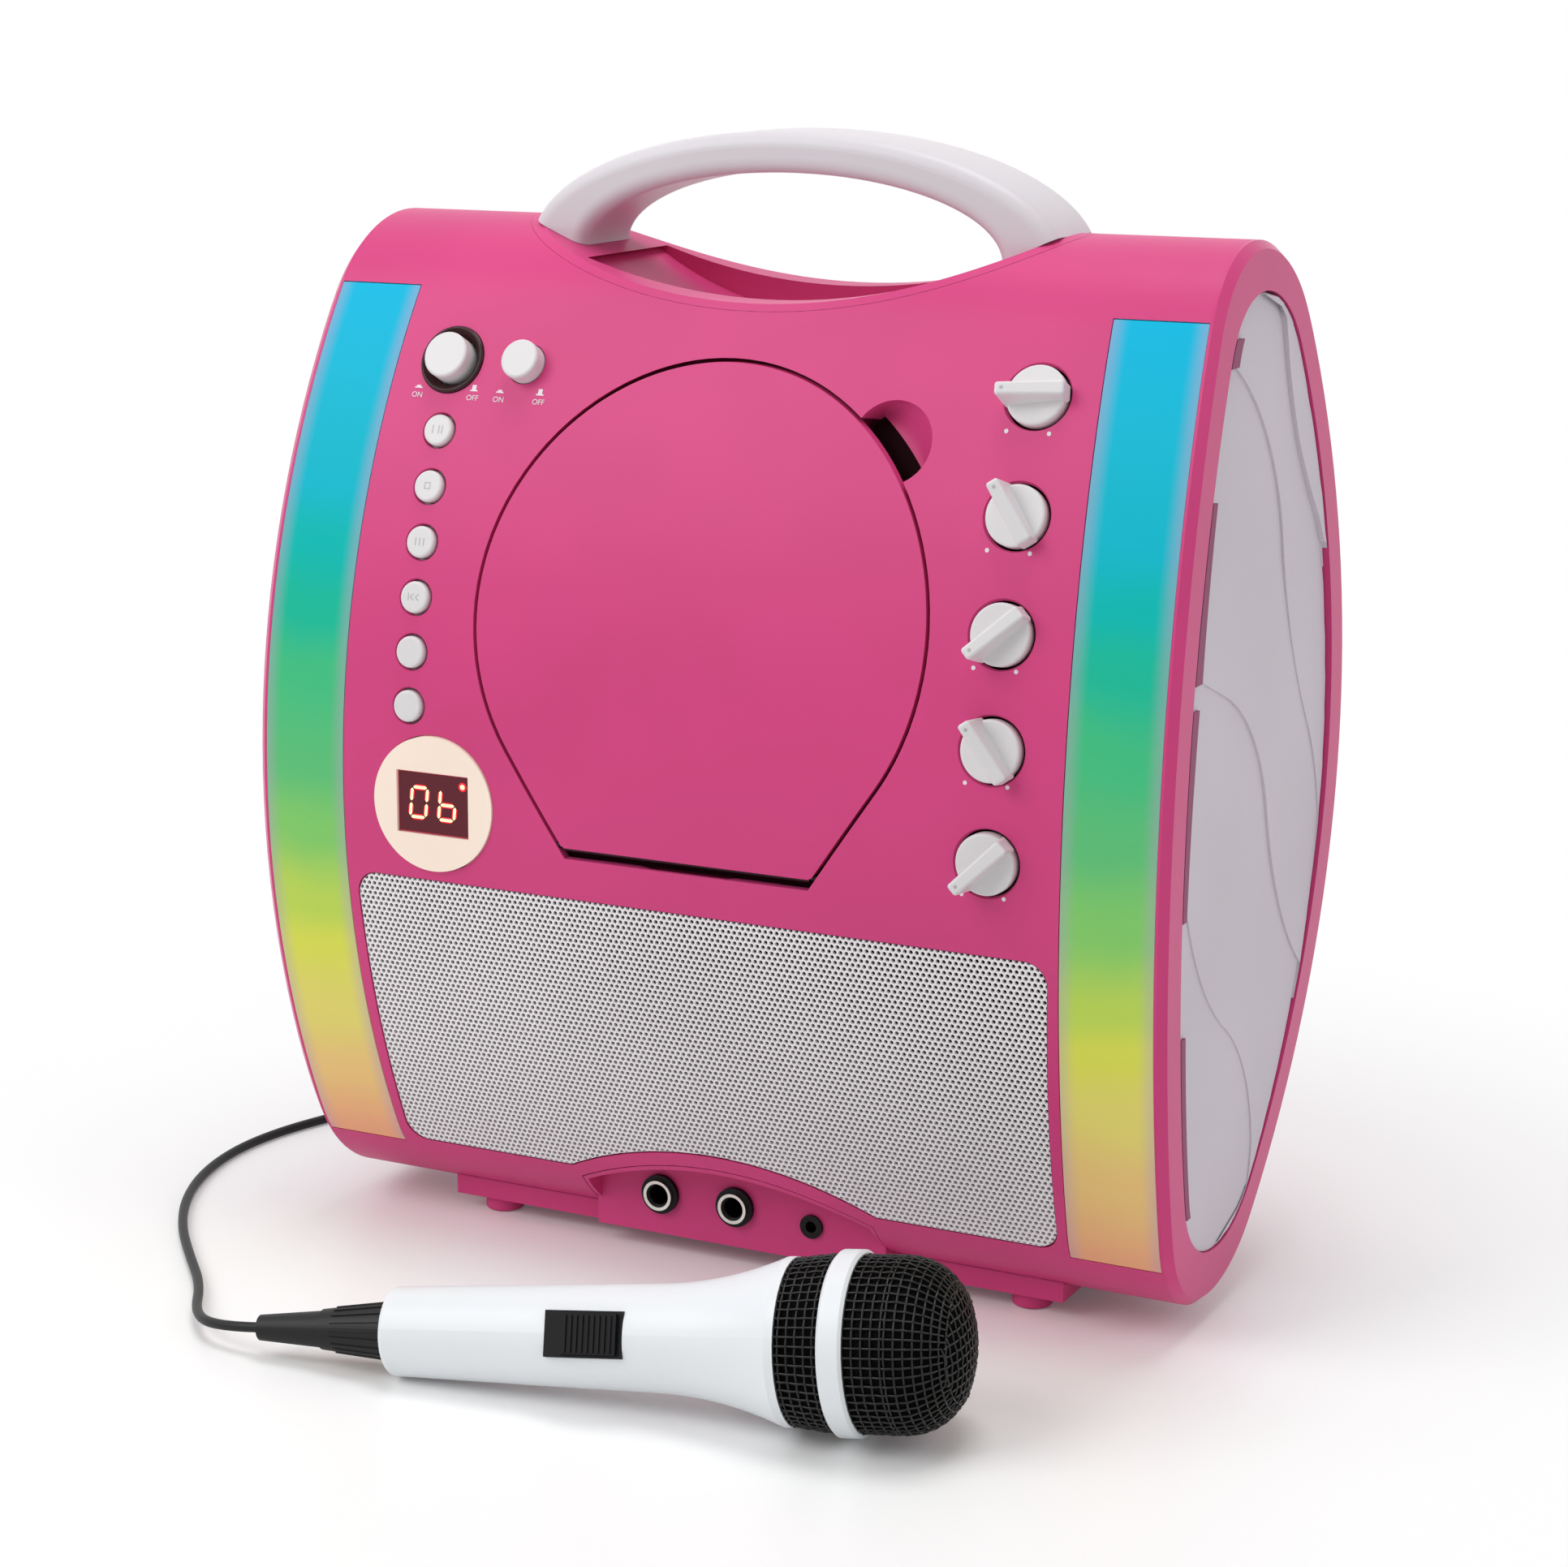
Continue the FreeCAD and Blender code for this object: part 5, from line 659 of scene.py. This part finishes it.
# Painted shade: a near-black sheet where the gap between the scoop and the door lies in shadow, inside the
# notch's circle
SHADE_NEAR = 0.0695
SHADE_FAR = SCOOP_REACH + 0.002
SHADE_DEPTH = 0.0088
SHADE_LEAST = 0.0004
SHADE_STEPS = 8
SHADE_SHARE = 0.99


def shade_rows():
    rows = []
    across = NOTCH_PLACE - DOOR_PLACE
    middle = math.atan2(across.y, across.x)
    for step in range(-SHADE_STEPS, SHADE_STEPS + 1):
        turn = math.asin(NOTCH_RADIUS * SHADE_SHARE / across.length) * step / SHADE_STEPS
        half = math.sqrt(NOTCH_RADIUS ** 2 - (across.length * math.sin(turn)) ** 2)
        near = max(SHADE_NEAR, across.length * math.cos(turn) - half)
        far = max(near + SHADE_LEAST, min(SHADE_FAR, across.length * math.cos(turn) + half))
        way = Vector((math.cos(middle + turn), math.sin(middle + turn)))
        spots = [DOOR_PLACE + way * reach for reach in (near, far)]
        rows.append([face_pair(spot, SHADE_DEPTH, SCOOP_THICK) for spot in spots])
    return rows


dress(slab_mesh("scoop_painted_shade", shade_rows()), gap_painted_shade, "machine")

# Sill that fills the round clearance under the door, and a near-black sheet at the back of the gap above
# it as painted shade
SILL_TOP = 0.13255
SILL_REACH = 0.0761
SILL_THICK = 0.0012
SILL_PROUD = 0.00004
SILL_LEAST = 0.00002
SILL_STEPS = 24
GAP_TOP = 0.1362
GAP_HALF = 0.0396
GAP_BACK = 0.0036
GAP_THICK = 0.0005


def sill_rows():
    rows = []
    half = math.sqrt(SILL_REACH ** 2 - (DOOR_RISE - SILL_TOP) ** 2)
    for step in range(SILL_STEPS + 1):
        x = half * (2 * step / SILL_STEPS - 1)
        low = min(DOOR_RISE - math.sqrt(SILL_REACH ** 2 - x * x), SILL_TOP - SILL_LEAST)
        rows.append([face_pair((x, rise), -SILL_PROUD, SILL_PROUD + SILL_THICK)
                     for rise in (low, SILL_TOP)])
    return rows


gap_rows = [[face_pair((x, rise), GAP_BACK, GAP_THICK) for rise in (SILL_TOP, GAP_TOP)]
            for x in (-GAP_HALF, GAP_HALF)]
dress(slab_mesh("door_sill", sill_rows()), pink, "machine")
dress(slab_mesh("door_back_painted_shade", gap_rows), gap_painted_shade, "machine")

# Overlapping wavy layers on the side panels, whose outline is two arcs joined by round tips
FRONT_MIDDLE = Vector((FRONT_CURVE - FRONT_STAND, FRONT_PEAK))
REAR_MIDDLE = Vector((REAR_STAND - REAR_CURVE, REAR_PEAK))
PANEL_INSET = 0.0125
PANEL_TIP = 0.034
PANEL_MARGIN = 0.0007
TIP_REACH = PANEL_TIP - PANEL_MARGIN
LAYER_STEP = 0.0014
LAYER_LAP = 0.0003
LAYER_RUN = 0.055
LAYER_WAY = Vector((0.77, 0.64))
LAYER_PARTS = 8
WAVE_STEP = 0.002
LAYER_SINKS = (0.0026, 0.0020, 0.0014, 0.0018)
# points of each layer's line: depth and height, and an arc's radius and side, in heights of the cabinet
WAVE_SHARES = [
    [(-0.14, 0.93), (-0.031, 0.884), (0.097, 0.70, 0.224, -1), (0.17, 0.532, 0.39, 1),
     (0.2125, 0.4375, 0.24, -1), (0.2375, 0.325)],
    [(-0.234, 0.6656), (-0.058, 0.5966), (0.0578, 0.4688, 0.194, -1), (0.1306, 0.3369, 0.3375, 1),
     (0.2344, 0.2625, 0.297, 1)],
    [(-0.36, 0.62), (-0.194, 0.5156), (-0.14, 0.4053), (-0.031, 0.286, 0.29, 1),
     (0.0672, 0.147, 0.226, -1), (0.0406, 0.031, 0.19, -1)],
    [(0.104, 0.938), (0.1134, 0.8653), (0.1347, 0.7991, 0.40, 1), (0.1888, 0.7225, 0.40, 1),
     (0.2056, 0.6956), (0.224, 0.688)]]
# ledge of the frame that shows along the panel's front edge, in the frame's pink darkened as painted
# shade: its two heights and its two widths
LEDGES = [(0.2815, 0.2890, 0.0060, 0.0060), (0.1985, 0.2465, 0.0052, 0.0034),
          (0.1330, 0.1915, 0.0030, 0.0046), (0.0400, 0.0985, 0.0030, 0.0034)]
LEDGE_SINKS = (0.0, 0.0024)
LEDGE_STEPS = 24


def wave_points(shares):
    """Points along straight runs and arcs, as depth and height in the cabinet's own frame."""
    points = [Vector(shares[0][:2]) * CABINET_RISE]
    for share in shares[1:]:
        start = points[-1]
        end = Vector(share[:2]) * CABINET_RISE
        chord = end - start
        count = max(2, int(chord.length / WAVE_STEP))
        if len(share) == 2:
            points += [start.lerp(end, number / count) for number in range(1, count + 1)]
            continue
        radius = share[2] * CABINET_RISE
        left = Vector((-chord.y, chord.x)).normalized()
        middle = start + chord / 2 + left * share[3] * math.sqrt(radius ** 2 - (chord.length / 2) ** 2)
        sweep = share[3] * 2 * math.asin(chord.length / (2 * radius))
        first = math.atan2(start.y - middle.y, start.x - middle.x)
        for number in range(1, count + 1):
            angle = first + sweep * number / count
            points.append(middle + radius * Vector((math.cos(angle), math.sin(angle))))
    return points


def panel_tip(way):
    """Middle of the upper or lower tip, the heights where the front and rear arcs meet it, and its way."""
    to_front = FRONT_CURVE - PANEL_INSET - PANEL_TIP
    to_rear = REAR_CURVE - PANEL_INSET - PANEL_TIP
    line = FRONT_MIDDLE - REAR_MIDDLE
    along = (to_rear ** 2 - to_front ** 2 + line.length_squared) / (2 * line.length)
    across = math.sqrt(to_rear ** 2 - along ** 2)
    line.normalize()
    middle = REAR_MIDDLE + line * along + Vector((-line.y, line.x)) * across * way
    front_rise, rear_rise = [middle.y + PANEL_TIP * (middle - centre).normalized().y
                             for centre in (FRONT_MIDDLE, REAR_MIDDLE)]
    return middle, front_rise, rear_rise, way


PANEL_TIPS = [panel_tip(way) for way in (1, -1)]


def panel_edges(rise):
    """Front and rear edges of the panel at a height."""
    front_reach = FRONT_CURVE - PANEL_INSET - PANEL_MARGIN
    rear_reach = REAR_CURVE - PANEL_INSET - PANEL_MARGIN
    front = FRONT_MIDDLE.x - math.sqrt(front_reach ** 2 - (rise - FRONT_MIDDLE.y) ** 2)
    rear = REAR_MIDDLE.x + math.sqrt(rear_reach ** 2 - (rise - REAR_MIDDLE.y) ** 2)
    for middle, front_rise, rear_rise, way in PANEL_TIPS:
        half = math.sqrt(max(0.0, TIP_REACH ** 2 - (rise - middle.y) ** 2))
        if (rise - front_rise) * way > 0:
            front = middle.x - half
        if (rise - rear_rise) * way > 0:
            rear = middle.x + half
    return front, rear


def held_in_panel(spot):
    """The spot, moved level to the panel's edge where it lies past it."""
    rise = min(max(spot.y, PANEL_TIPS[1][0].y - TIP_REACH), PANEL_TIPS[0][0].y + TIP_REACH)
    front, rear = panel_edges(rise)
    return min(max(spot.x, front), rear), rise


def panel_point(spot, sink, side):
    depth, rise = held_in_panel(spot)
    reach = END_CURVE - sink
    across = HALF_WIDTH - END_CURVE + math.sqrt(reach ** 2 - (rise - END_PEAK) ** 2)
    return Vector((side * across, CABINET_Y + depth, rise))


def layer_rows(shares, sink, side):
    rows = []
    for spot in wave_points(shares):
        row = []
        for part in range(LAYER_PARTS + 1):
            share = part / LAYER_PARTS
            place = spot + LAYER_WAY * (LAYER_RUN * share - LAYER_LAP)
            lift = min(LAYER_STEP, sink - LAYER_LAP) * (1 - share)
            row.append((panel_point(place, sink - lift, side), panel_point(place, sink + LAYER_LAP, side)))
        rows.append(row)
    return rows


def ledge_rows(low, high, low_wide, high_wide, side):
    rows = []
    for step in range(LEDGE_STEPS + 1):
        share = step / LEDGE_STEPS
        rise = low + (high - low) * share
        front = panel_edges(rise)[0]
        wide = low_wide + (high_wide - low_wide) * share
        rows.append([[panel_point(Vector((front + across, rise)), sink, side) for sink in LEDGE_SINKS]
                     for across in (0.0, wide)])
    return rows


for side, word in ((1, "right"), (-1, "left")):
    for number, (sink, shares) in enumerate(zip(LAYER_SINKS, WAVE_SHARES)):
        layer = slab_mesh(f"panel_layer_{word}_{number}", layer_rows(shares, sink, side))
        dress(layer, panel_white, "machine")
    # ledges in the frame's pink darkened as painted shade
    for number, ledge in enumerate(LEDGES):
        piece = slab_mesh(f"frame_ledge_{word}_{number}", ledge_rows(*ledge, side))
        dress(piece, ledge_pink_painted_shade, "machine")

# Perforated grille: a sheet of six-sided cells, each with a round hole, fitted to the grille's outline
HOLE_PITCH = 0.00185
HOLE_RADIUS = 0.00064
SHEET_THICK = 0.0009
GRILLE_SINK = 0.0004
GRILLE_TOP = 0.120
GRILLE_BOTTOM = 0.0285
GRILLE_HALF_TOP = 0.114
GRILLE_HALF_BOTTOM = 0.1105
GRILLE_CORNER = 0.007
ARCH_CURVE = 0.1167
ARCH_CENTRE = -0.076
EDGE_SHARE = 0.45
GRILLE_MERGE = 1e-6
CLOTH_GAP = 0.00002
CLOTH_THICK = 0.00028
CLOTH_CELLS = (46, 60)


def grille_half(rise):
    share = (rise - GRILLE_BOTTOM) / (GRILLE_TOP - GRILLE_BOTTOM)
    return GRILLE_HALF_BOTTOM + share * (GRILLE_HALF_TOP - GRILLE_HALF_BOTTOM)


def held_in_grille(x, rise):
    """The point itself, or the nearest one on the grille's outline."""
    side = -1 if x < 0 else 1
    x = abs(x)
    rise = min(max(rise, GRILLE_BOTTOM), GRILLE_TOP)
    x = min(x, grille_half(rise))
    for edge, way in ((GRILLE_TOP, 1), (GRILLE_BOTTOM, -1)):
        corner_rise = edge - way * GRILLE_CORNER
        corner_x = grille_half(corner_rise) - GRILLE_CORNER
        if x > corner_x and (rise - corner_rise) * way > 0:
            away = math.hypot(x - corner_x, rise - corner_rise)
            if away > GRILLE_CORNER:
                x = corner_x + (x - corner_x) * GRILLE_CORNER / away
                rise = corner_rise + (rise - corner_rise) * GRILLE_CORNER / away
    away = math.hypot(x, rise - ARCH_CENTRE)
    if away < ARCH_CURVE:
        x = x * ARCH_CURVE / away
        rise = ARCH_CENTRE + (rise - ARCH_CENTRE) * ARCH_CURVE / away
        rise = max(rise, GRILLE_BOTTOM)
    return x * side, rise


def grille_mesh():
    row_step = HOLE_PITCH * math.sqrt(3) / 2
    corner_reach = HOLE_PITCH / math.sqrt(3)
    made = bmesh.new()
    shared = {}

    def sheet_vert(x, rise):
        key = (round(x * 1e6), round(rise * 1e6))
        if key not in shared:
            shared[key] = made.verts.new(front_point(*held_in_grille(x, rise), -GRILLE_SINK))
        return shared[key]

    rows = int((GRILLE_TOP - GRILLE_BOTTOM) / row_step) + 2
    columns = int(GRILLE_HALF_TOP / HOLE_PITCH) + 2
    for row in range(rows):
        rise = GRILLE_BOTTOM + row * row_step
        for column in range(-columns, columns + 1):
            x = (column + 0.5 * (row % 2)) * HOLE_PITCH
            held = held_in_grille(x, rise)
            if math.hypot(held[0] - x, held[1] - rise) > HOLE_PITCH * EDGE_SHARE:
                continue
            corners = []
            for step in range(6):
                angle = math.pi / 6 + step * math.pi / 3
                corners.append(sheet_vert(x + corner_reach * math.cos(angle),
                                          rise + corner_reach * math.sin(angle)))
            rims = []
            walls = []
            for step in range(12):
                angle = math.pi / 6 + step * math.pi / 6
                point = held_in_grille(x + HOLE_RADIUS * math.cos(angle),
                                       rise + HOLE_RADIUS * math.sin(angle))
                rims.append(made.verts.new(front_point(*point, -GRILLE_SINK)))
                walls.append(made.verts.new(front_point(*point, -GRILLE_SINK - SHEET_THICK)))
            for step in range(6):
                after = (step + 1) % 6
                ring = [corners[step], corners[after]]
                ring += [rims[(2 * step + turn) % 12] for turn in (2, 1, 0)]
                if len(set(ring)) == 5:
                    made.faces.new(ring)
            for step in range(12):
                after = (step + 1) % 12
                made.faces.new((rims[step], rims[after], walls[after], walls[step]))
    bmesh.ops.dissolve_degenerate(made, dist=GRILLE_MERGE, edges=made.edges[:])
    bmesh.ops.recalc_face_normals(made, faces=made.faces[:])
    return bmesh_object("grille_sheet", made)


grille = dress(grille_mesh(), grille_white, "machine")
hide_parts("speaker_grille")


def cloth_rows():
    """Dark cloth right behind the sheet."""
    rows, columns = CLOTH_CELLS
    made = []
    for row in range(rows + 1):
        rise = GRILLE_BOTTOM + (GRILLE_TOP - GRILLE_BOTTOM) * row / rows
        line = []
        for column in range(columns + 1):
            spot = held_in_grille((2 * column / columns - 1) * GRILLE_HALF_TOP, rise)
            line.append(face_pair(spot, GRILLE_SINK + SHEET_THICK + CLOTH_GAP, CLOTH_THICK))
        made.append(line)
    return made


dress(slab_mesh("grille_cloth", cloth_rows()), foam, "machine")

# Woven wire over the microphone's head: rings and lengthwise wires, and a square weave on the end
BAND_START = (0.1206, 0.0226)
BAND_END = (0.1332, 0.0241)
RING_END = 0.1402
HEAD_RADIUS = 0.0242
HEAD_END = 0.170
HEAD_ROUND = 0.017
HEAD_SLOPE = math.radians(70)
DOME_RADIUS = HEAD_ROUND + (HEAD_RADIUS - HEAD_ROUND) / math.cos(HEAD_SLOPE)
CORNER_PLACE = HEAD_END - DOME_RADIUS + (HEAD_RADIUS - HEAD_ROUND) * math.tan(HEAD_SLOPE)
WIRE_PITCH = 0.0026
WIRE_RADIUS = 0.00036
WIRE_WAVE = 0.00028
WIRE_COLUMNS = 58
CAP_RADIUS = 0.0165
BAND_ROWS = 5
FOAM_DEPTH = 0.0011
FOAM_RADII = (0.013, 0.009, 0.005, 0.001)
FOAM_COLUMNS = 64


def mic_place(along, across, rise):
    return MIC_TAIL + MIC_AXIS * along + MIC_SIDE * across + MIC_UP * rise


def round_place(along, radius, angle):
    return mic_place(along, radius * math.cos(angle), radius * math.sin(angle))


def head_line(inset):
    """Points along the head's side and rounded corner: place along the axis, radius and outward way."""
    steps = int((CORNER_PLACE - RING_END) / WIRE_PITCH)
    line = [(RING_END + step * WIRE_PITCH, HEAD_RADIUS - inset, 0.0) for step in range(steps + 1)]
    turn = WIRE_PITCH / HEAD_ROUND
    for step in range(int(HEAD_SLOPE / turn) + 1):
        reach = HEAD_ROUND - inset
        line.append((CORNER_PLACE + reach * math.sin(step * turn),
                     HEAD_RADIUS - HEAD_ROUND + reach * math.cos(step * turn), step * turn))
    return line


def dome_place(radius, inset):
    reach = DOME_RADIUS - inset
    return HEAD_END - DOME_RADIUS + math.sqrt(reach * reach - radius * radius)


def woven_wires(name, strands):
    """Strands of points as thin round wires, all in one curve."""
    curve = bpy.data.curves.new(name, "CURVE")
    curve.dimensions = "3D"
    curve.bevel_depth = WIRE_RADIUS
    curve.bevel_resolution = 1
    curve.resolution_u = 3
    curve.use_fill_caps = True
    for points, closed in strands:
        strand = curve.splines.new("NURBS")
        strand.points.add(len(points) - 1)
        for point, place in zip(strand.points, points):
            point.co = (*place, 1)
        strand.order_u = 3
        strand.use_cyclic_u = closed
        strand.use_endpoint_u = not closed
    made = bpy.data.objects.new(name, curve)
    bpy.context.scene.collection.objects.link(made)
    return dress(made, mesh_black, "microphone")


def round_weave(name, line, columns):
    """Rings and lengthwise wires that pass over and under each other along a turned line."""
    def crossing(row, column, side):
        along, radius, slope = line[row]
        wave = WIRE_WAVE * side * (1 if (row + column) % 2 else -1)
        angle = 2 * math.pi * column / columns
        return round_place(along + wave * math.sin(slope), radius + wave * math.cos(slope), angle)

    rings = [([crossing(row, column, 1) for column in range(columns)], True) for row in range(len(line))]
    lengths = [([crossing(row, column, -1) for row in range(len(line))], False)
               for column in range(columns)]
    return woven_wires(name, rings + lengths)


def square_weave(name, radius, inset):
    """Square weave laid over the head's rounded end."""
    count = int(radius / WIRE_PITCH)
    strands = []
    for upright in (False, True):
        for first in range(-count, count + 1):
            strand = []
            for second in range(-count - 1, count + 2):
                across, rise = (first, second) if upright else (second, first)
                away = WIRE_PITCH * math.hypot(across, rise)
                if away > radius:
                    continue
                wave = WIRE_WAVE * (1 if (first + second) % 2 == upright else -1)
                along = dome_place(away, inset) + wave
                strand.append(mic_place(along, across * WIRE_PITCH, rise * WIRE_PITCH))
            if len(strand) > 2:
                strands.append((strand, False))
    return woven_wires(name, strands)


band_shares = [0.0] + [(row + 0.5) / BAND_ROWS for row in range(BAND_ROWS)] + [1.0]
band_line = [(BAND_START[0] + (BAND_END[0] - BAND_START[0]) * share,
              BAND_START[1] + (BAND_END[1] - BAND_START[1]) * share, 0.0) for share in band_shares]
round_weave("mic_band_wire", band_line, WIRE_COLUMNS)
round_weave("mic_side_wire", head_line(WIRE_RADIUS), WIRE_COLUMNS)
square_weave("mic_end_wire", CAP_RADIUS, WIRE_RADIUS)


def turned_mesh(name, line, columns):
    """Closed solid turned round the microphone's axis from a line of places and radii."""
    verts = [round_place(along, radius, 2 * math.pi * column / columns)
             for along, radius in line for column in range(columns)]
    faces = []
    for row in range(len(line) - 1):
        for column in range(columns):
            after = (column + 1) % columns
            faces.append((row * columns + column, row * columns + after, (row + 1) * columns + after,
                          (row + 1) * columns + column))
    faces.append(tuple(range(columns - 1, -1, -1)))
    faces.append(tuple(range((len(line) - 1) * columns, len(line) * columns)))
    return mesh_object(name, verts, faces, True)


foam_line = [(BAND_START[0], BAND_START[1] - FOAM_DEPTH), (BAND_END[0], BAND_END[1] - FOAM_DEPTH)]
foam_line += [(along, radius) for along, radius, _ in head_line(FOAM_DEPTH)]
foam_line += [(dome_place(radius, FOAM_DEPTH), radius) for radius in FOAM_RADII]
core = dress(turned_mesh("mic_foam", foam_line, FOAM_COLUMNS), foam, "microphone")
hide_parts("mic_head")

# Lengthwise grip ridges on the collar behind the handle
COLLAR_RADII = (0.0082, 0.0058)
COLLAR_LONG = 0.022
RIDGE_COUNT = 18
RIDGE_HALF = 0.0005
RIDGE_RISE = 0.0004
RIDGE_SHARES = (0.06, 0.80)
RIDGE_CORNERS = ((-1, 1.0), (-1, -1.0), (1, -0.6), (1, 0.6))


def collar_ridges():
    verts = []
    faces = []
    for number in range(RIDGE_COUNT):
        angle = 2 * math.pi * number / RIDGE_COUNT
        first = len(verts)
        for share in RIDGE_SHARES:
            radius = COLLAR_RADII[0] + (COLLAR_RADII[1] - COLLAR_RADII[0]) * share
            spread = RIDGE_HALF / radius
            for out, wide in RIDGE_CORNERS:
                height = radius + out * RIDGE_RISE
                verts.append(round_place(-COLLAR_LONG * share, height, angle + wide * spread))
        for step in range(4):
            after = (step + 1) % 4
            faces.append((first + step, first + after, first + 4 + after, first + 4 + step))
        faces += [(first + 3, first + 2, first + 1, first), (first + 4, first + 5, first + 6, first + 7)]
    return mesh_object("collar_ridges", verts, faces)


dress(collar_ridges(), rubber, "microphone")

# Cord's finish, and the CAD model's own cord pieces hidden
dress(cord, rubber, "microphone")
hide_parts("mic_cord", "mic_cord_coil")

# Floor that turns to plain white away from the object, a white world and soft lamps
AMBIENT = 0.42
FLOOR_LIFT = 0.06
FLOOR_FADE = (0.13, 0.45)
FLOOR_CORNERS = [(-6, -6, 0), (6, -6, 0), (6, 12, 0), (-6, 12, 0)]
FLOOR_DROP = 0.0002


def seen_rays(tree):
    """One where the camera sees a surface directly, in a mirror or through glass."""
    path = tree.nodes.new("ShaderNodeLightPath")
    seen = math_node(tree, "MAXIMUM", path.outputs["Is Camera Ray"], path.outputs["Is Glossy Ray"])
    return math_node(tree, "MAXIMUM", seen, path.outputs["Is Transmission Ray"])


def floor_material():
    made = finish("floor_pale", (0.91, 0.91, 0.91), 0.40, drift=0.0, height=0.0)
    tree = made.node_tree
    shader = tree.nodes["Principled BSDF"]
    shader.inputs["Emission Color"].default_value = (1, 1, 1, 1)
    seen = seen_rays(tree)
    link(tree, math_node(tree, "MULTIPLY", seen, FLOOR_LIFT), shader.inputs["Emission Strength"])
    coords = tree.nodes.new("ShaderNodeTexCoord")
    away = tree.nodes.new("ShaderNodeVectorMath")
    away.operation = "LENGTH"
    link(tree, coords.outputs["Object"], away.inputs[0])
    fade = tree.nodes.new("ShaderNodeMapRange")
    fade.interpolation_type = "SMOOTHSTEP"
    fade.inputs["From Min"].default_value = FLOOR_FADE[0]
    fade.inputs["From Max"].default_value = FLOOR_FADE[1]
    link(tree, away.outputs["Value"], fade.inputs["Value"])
    white = tree.nodes.new("ShaderNodeEmission")
    mixed = tree.nodes.new("ShaderNodeMixShader")
    link(tree, math_node(tree, "MULTIPLY", fade.outputs["Result"], seen), mixed.inputs[0])
    link(tree, shader.outputs["BSDF"], mixed.inputs[1])
    link(tree, white.outputs["Emission"], mixed.inputs[2])
    link(tree, mixed.outputs["Shader"], tree.nodes["Material Output"].inputs["Surface"])
    return made


floor = mesh_object("floor", FLOOR_CORNERS, [(0, 1, 2, 3)])
floor.location.z = -FLOOR_DROP
floor.data.materials.append(floor_material())

world = bpy.data.worlds.new("studio")
world.use_nodes = True
bpy.context.scene.world = world
sky = world.node_tree.nodes["Background"]
sky.inputs["Color"].default_value = (1.0, 1.0, 1.0, 1)
lift = math_node(world.node_tree, "MULTIPLY", seen_rays(world.node_tree), 1 - AMBIENT)
link(world.node_tree, math_node(world.node_tree, "ADD", lift, AMBIENT), sky.inputs["Strength"])


def lamp(name, place, target, size, watts):
    data = bpy.data.lights.new(name, "AREA")
    data.shape = "RECTANGLE"
    data.size = size[0]
    data.size_y = size[1]
    data.energy = watts
    made = bpy.data.objects.new(name, data)
    made.location = place
    made.rotation_euler = (Vector(target) - Vector(place)).to_track_quat("-Z", "Y").to_euler()
    bpy.context.scene.collection.objects.link(made)


lamp("key_lamp", (-0.9, -1.1, 1.3), (0, 0, 0.15), (1.2, 1.2), 15.5)
lamp("top_lamp", (0.1, 0.14, 1.7), (0, 0.03, 0.2), (0.9, 0.7), 10)
lamp("side_lamp", (1.5, 0.2, 0.8), (0.1, 0, 0.15), (0.8, 1.2), 3.5)
bpy.context.scene.view_settings.view_transform = "Standard"
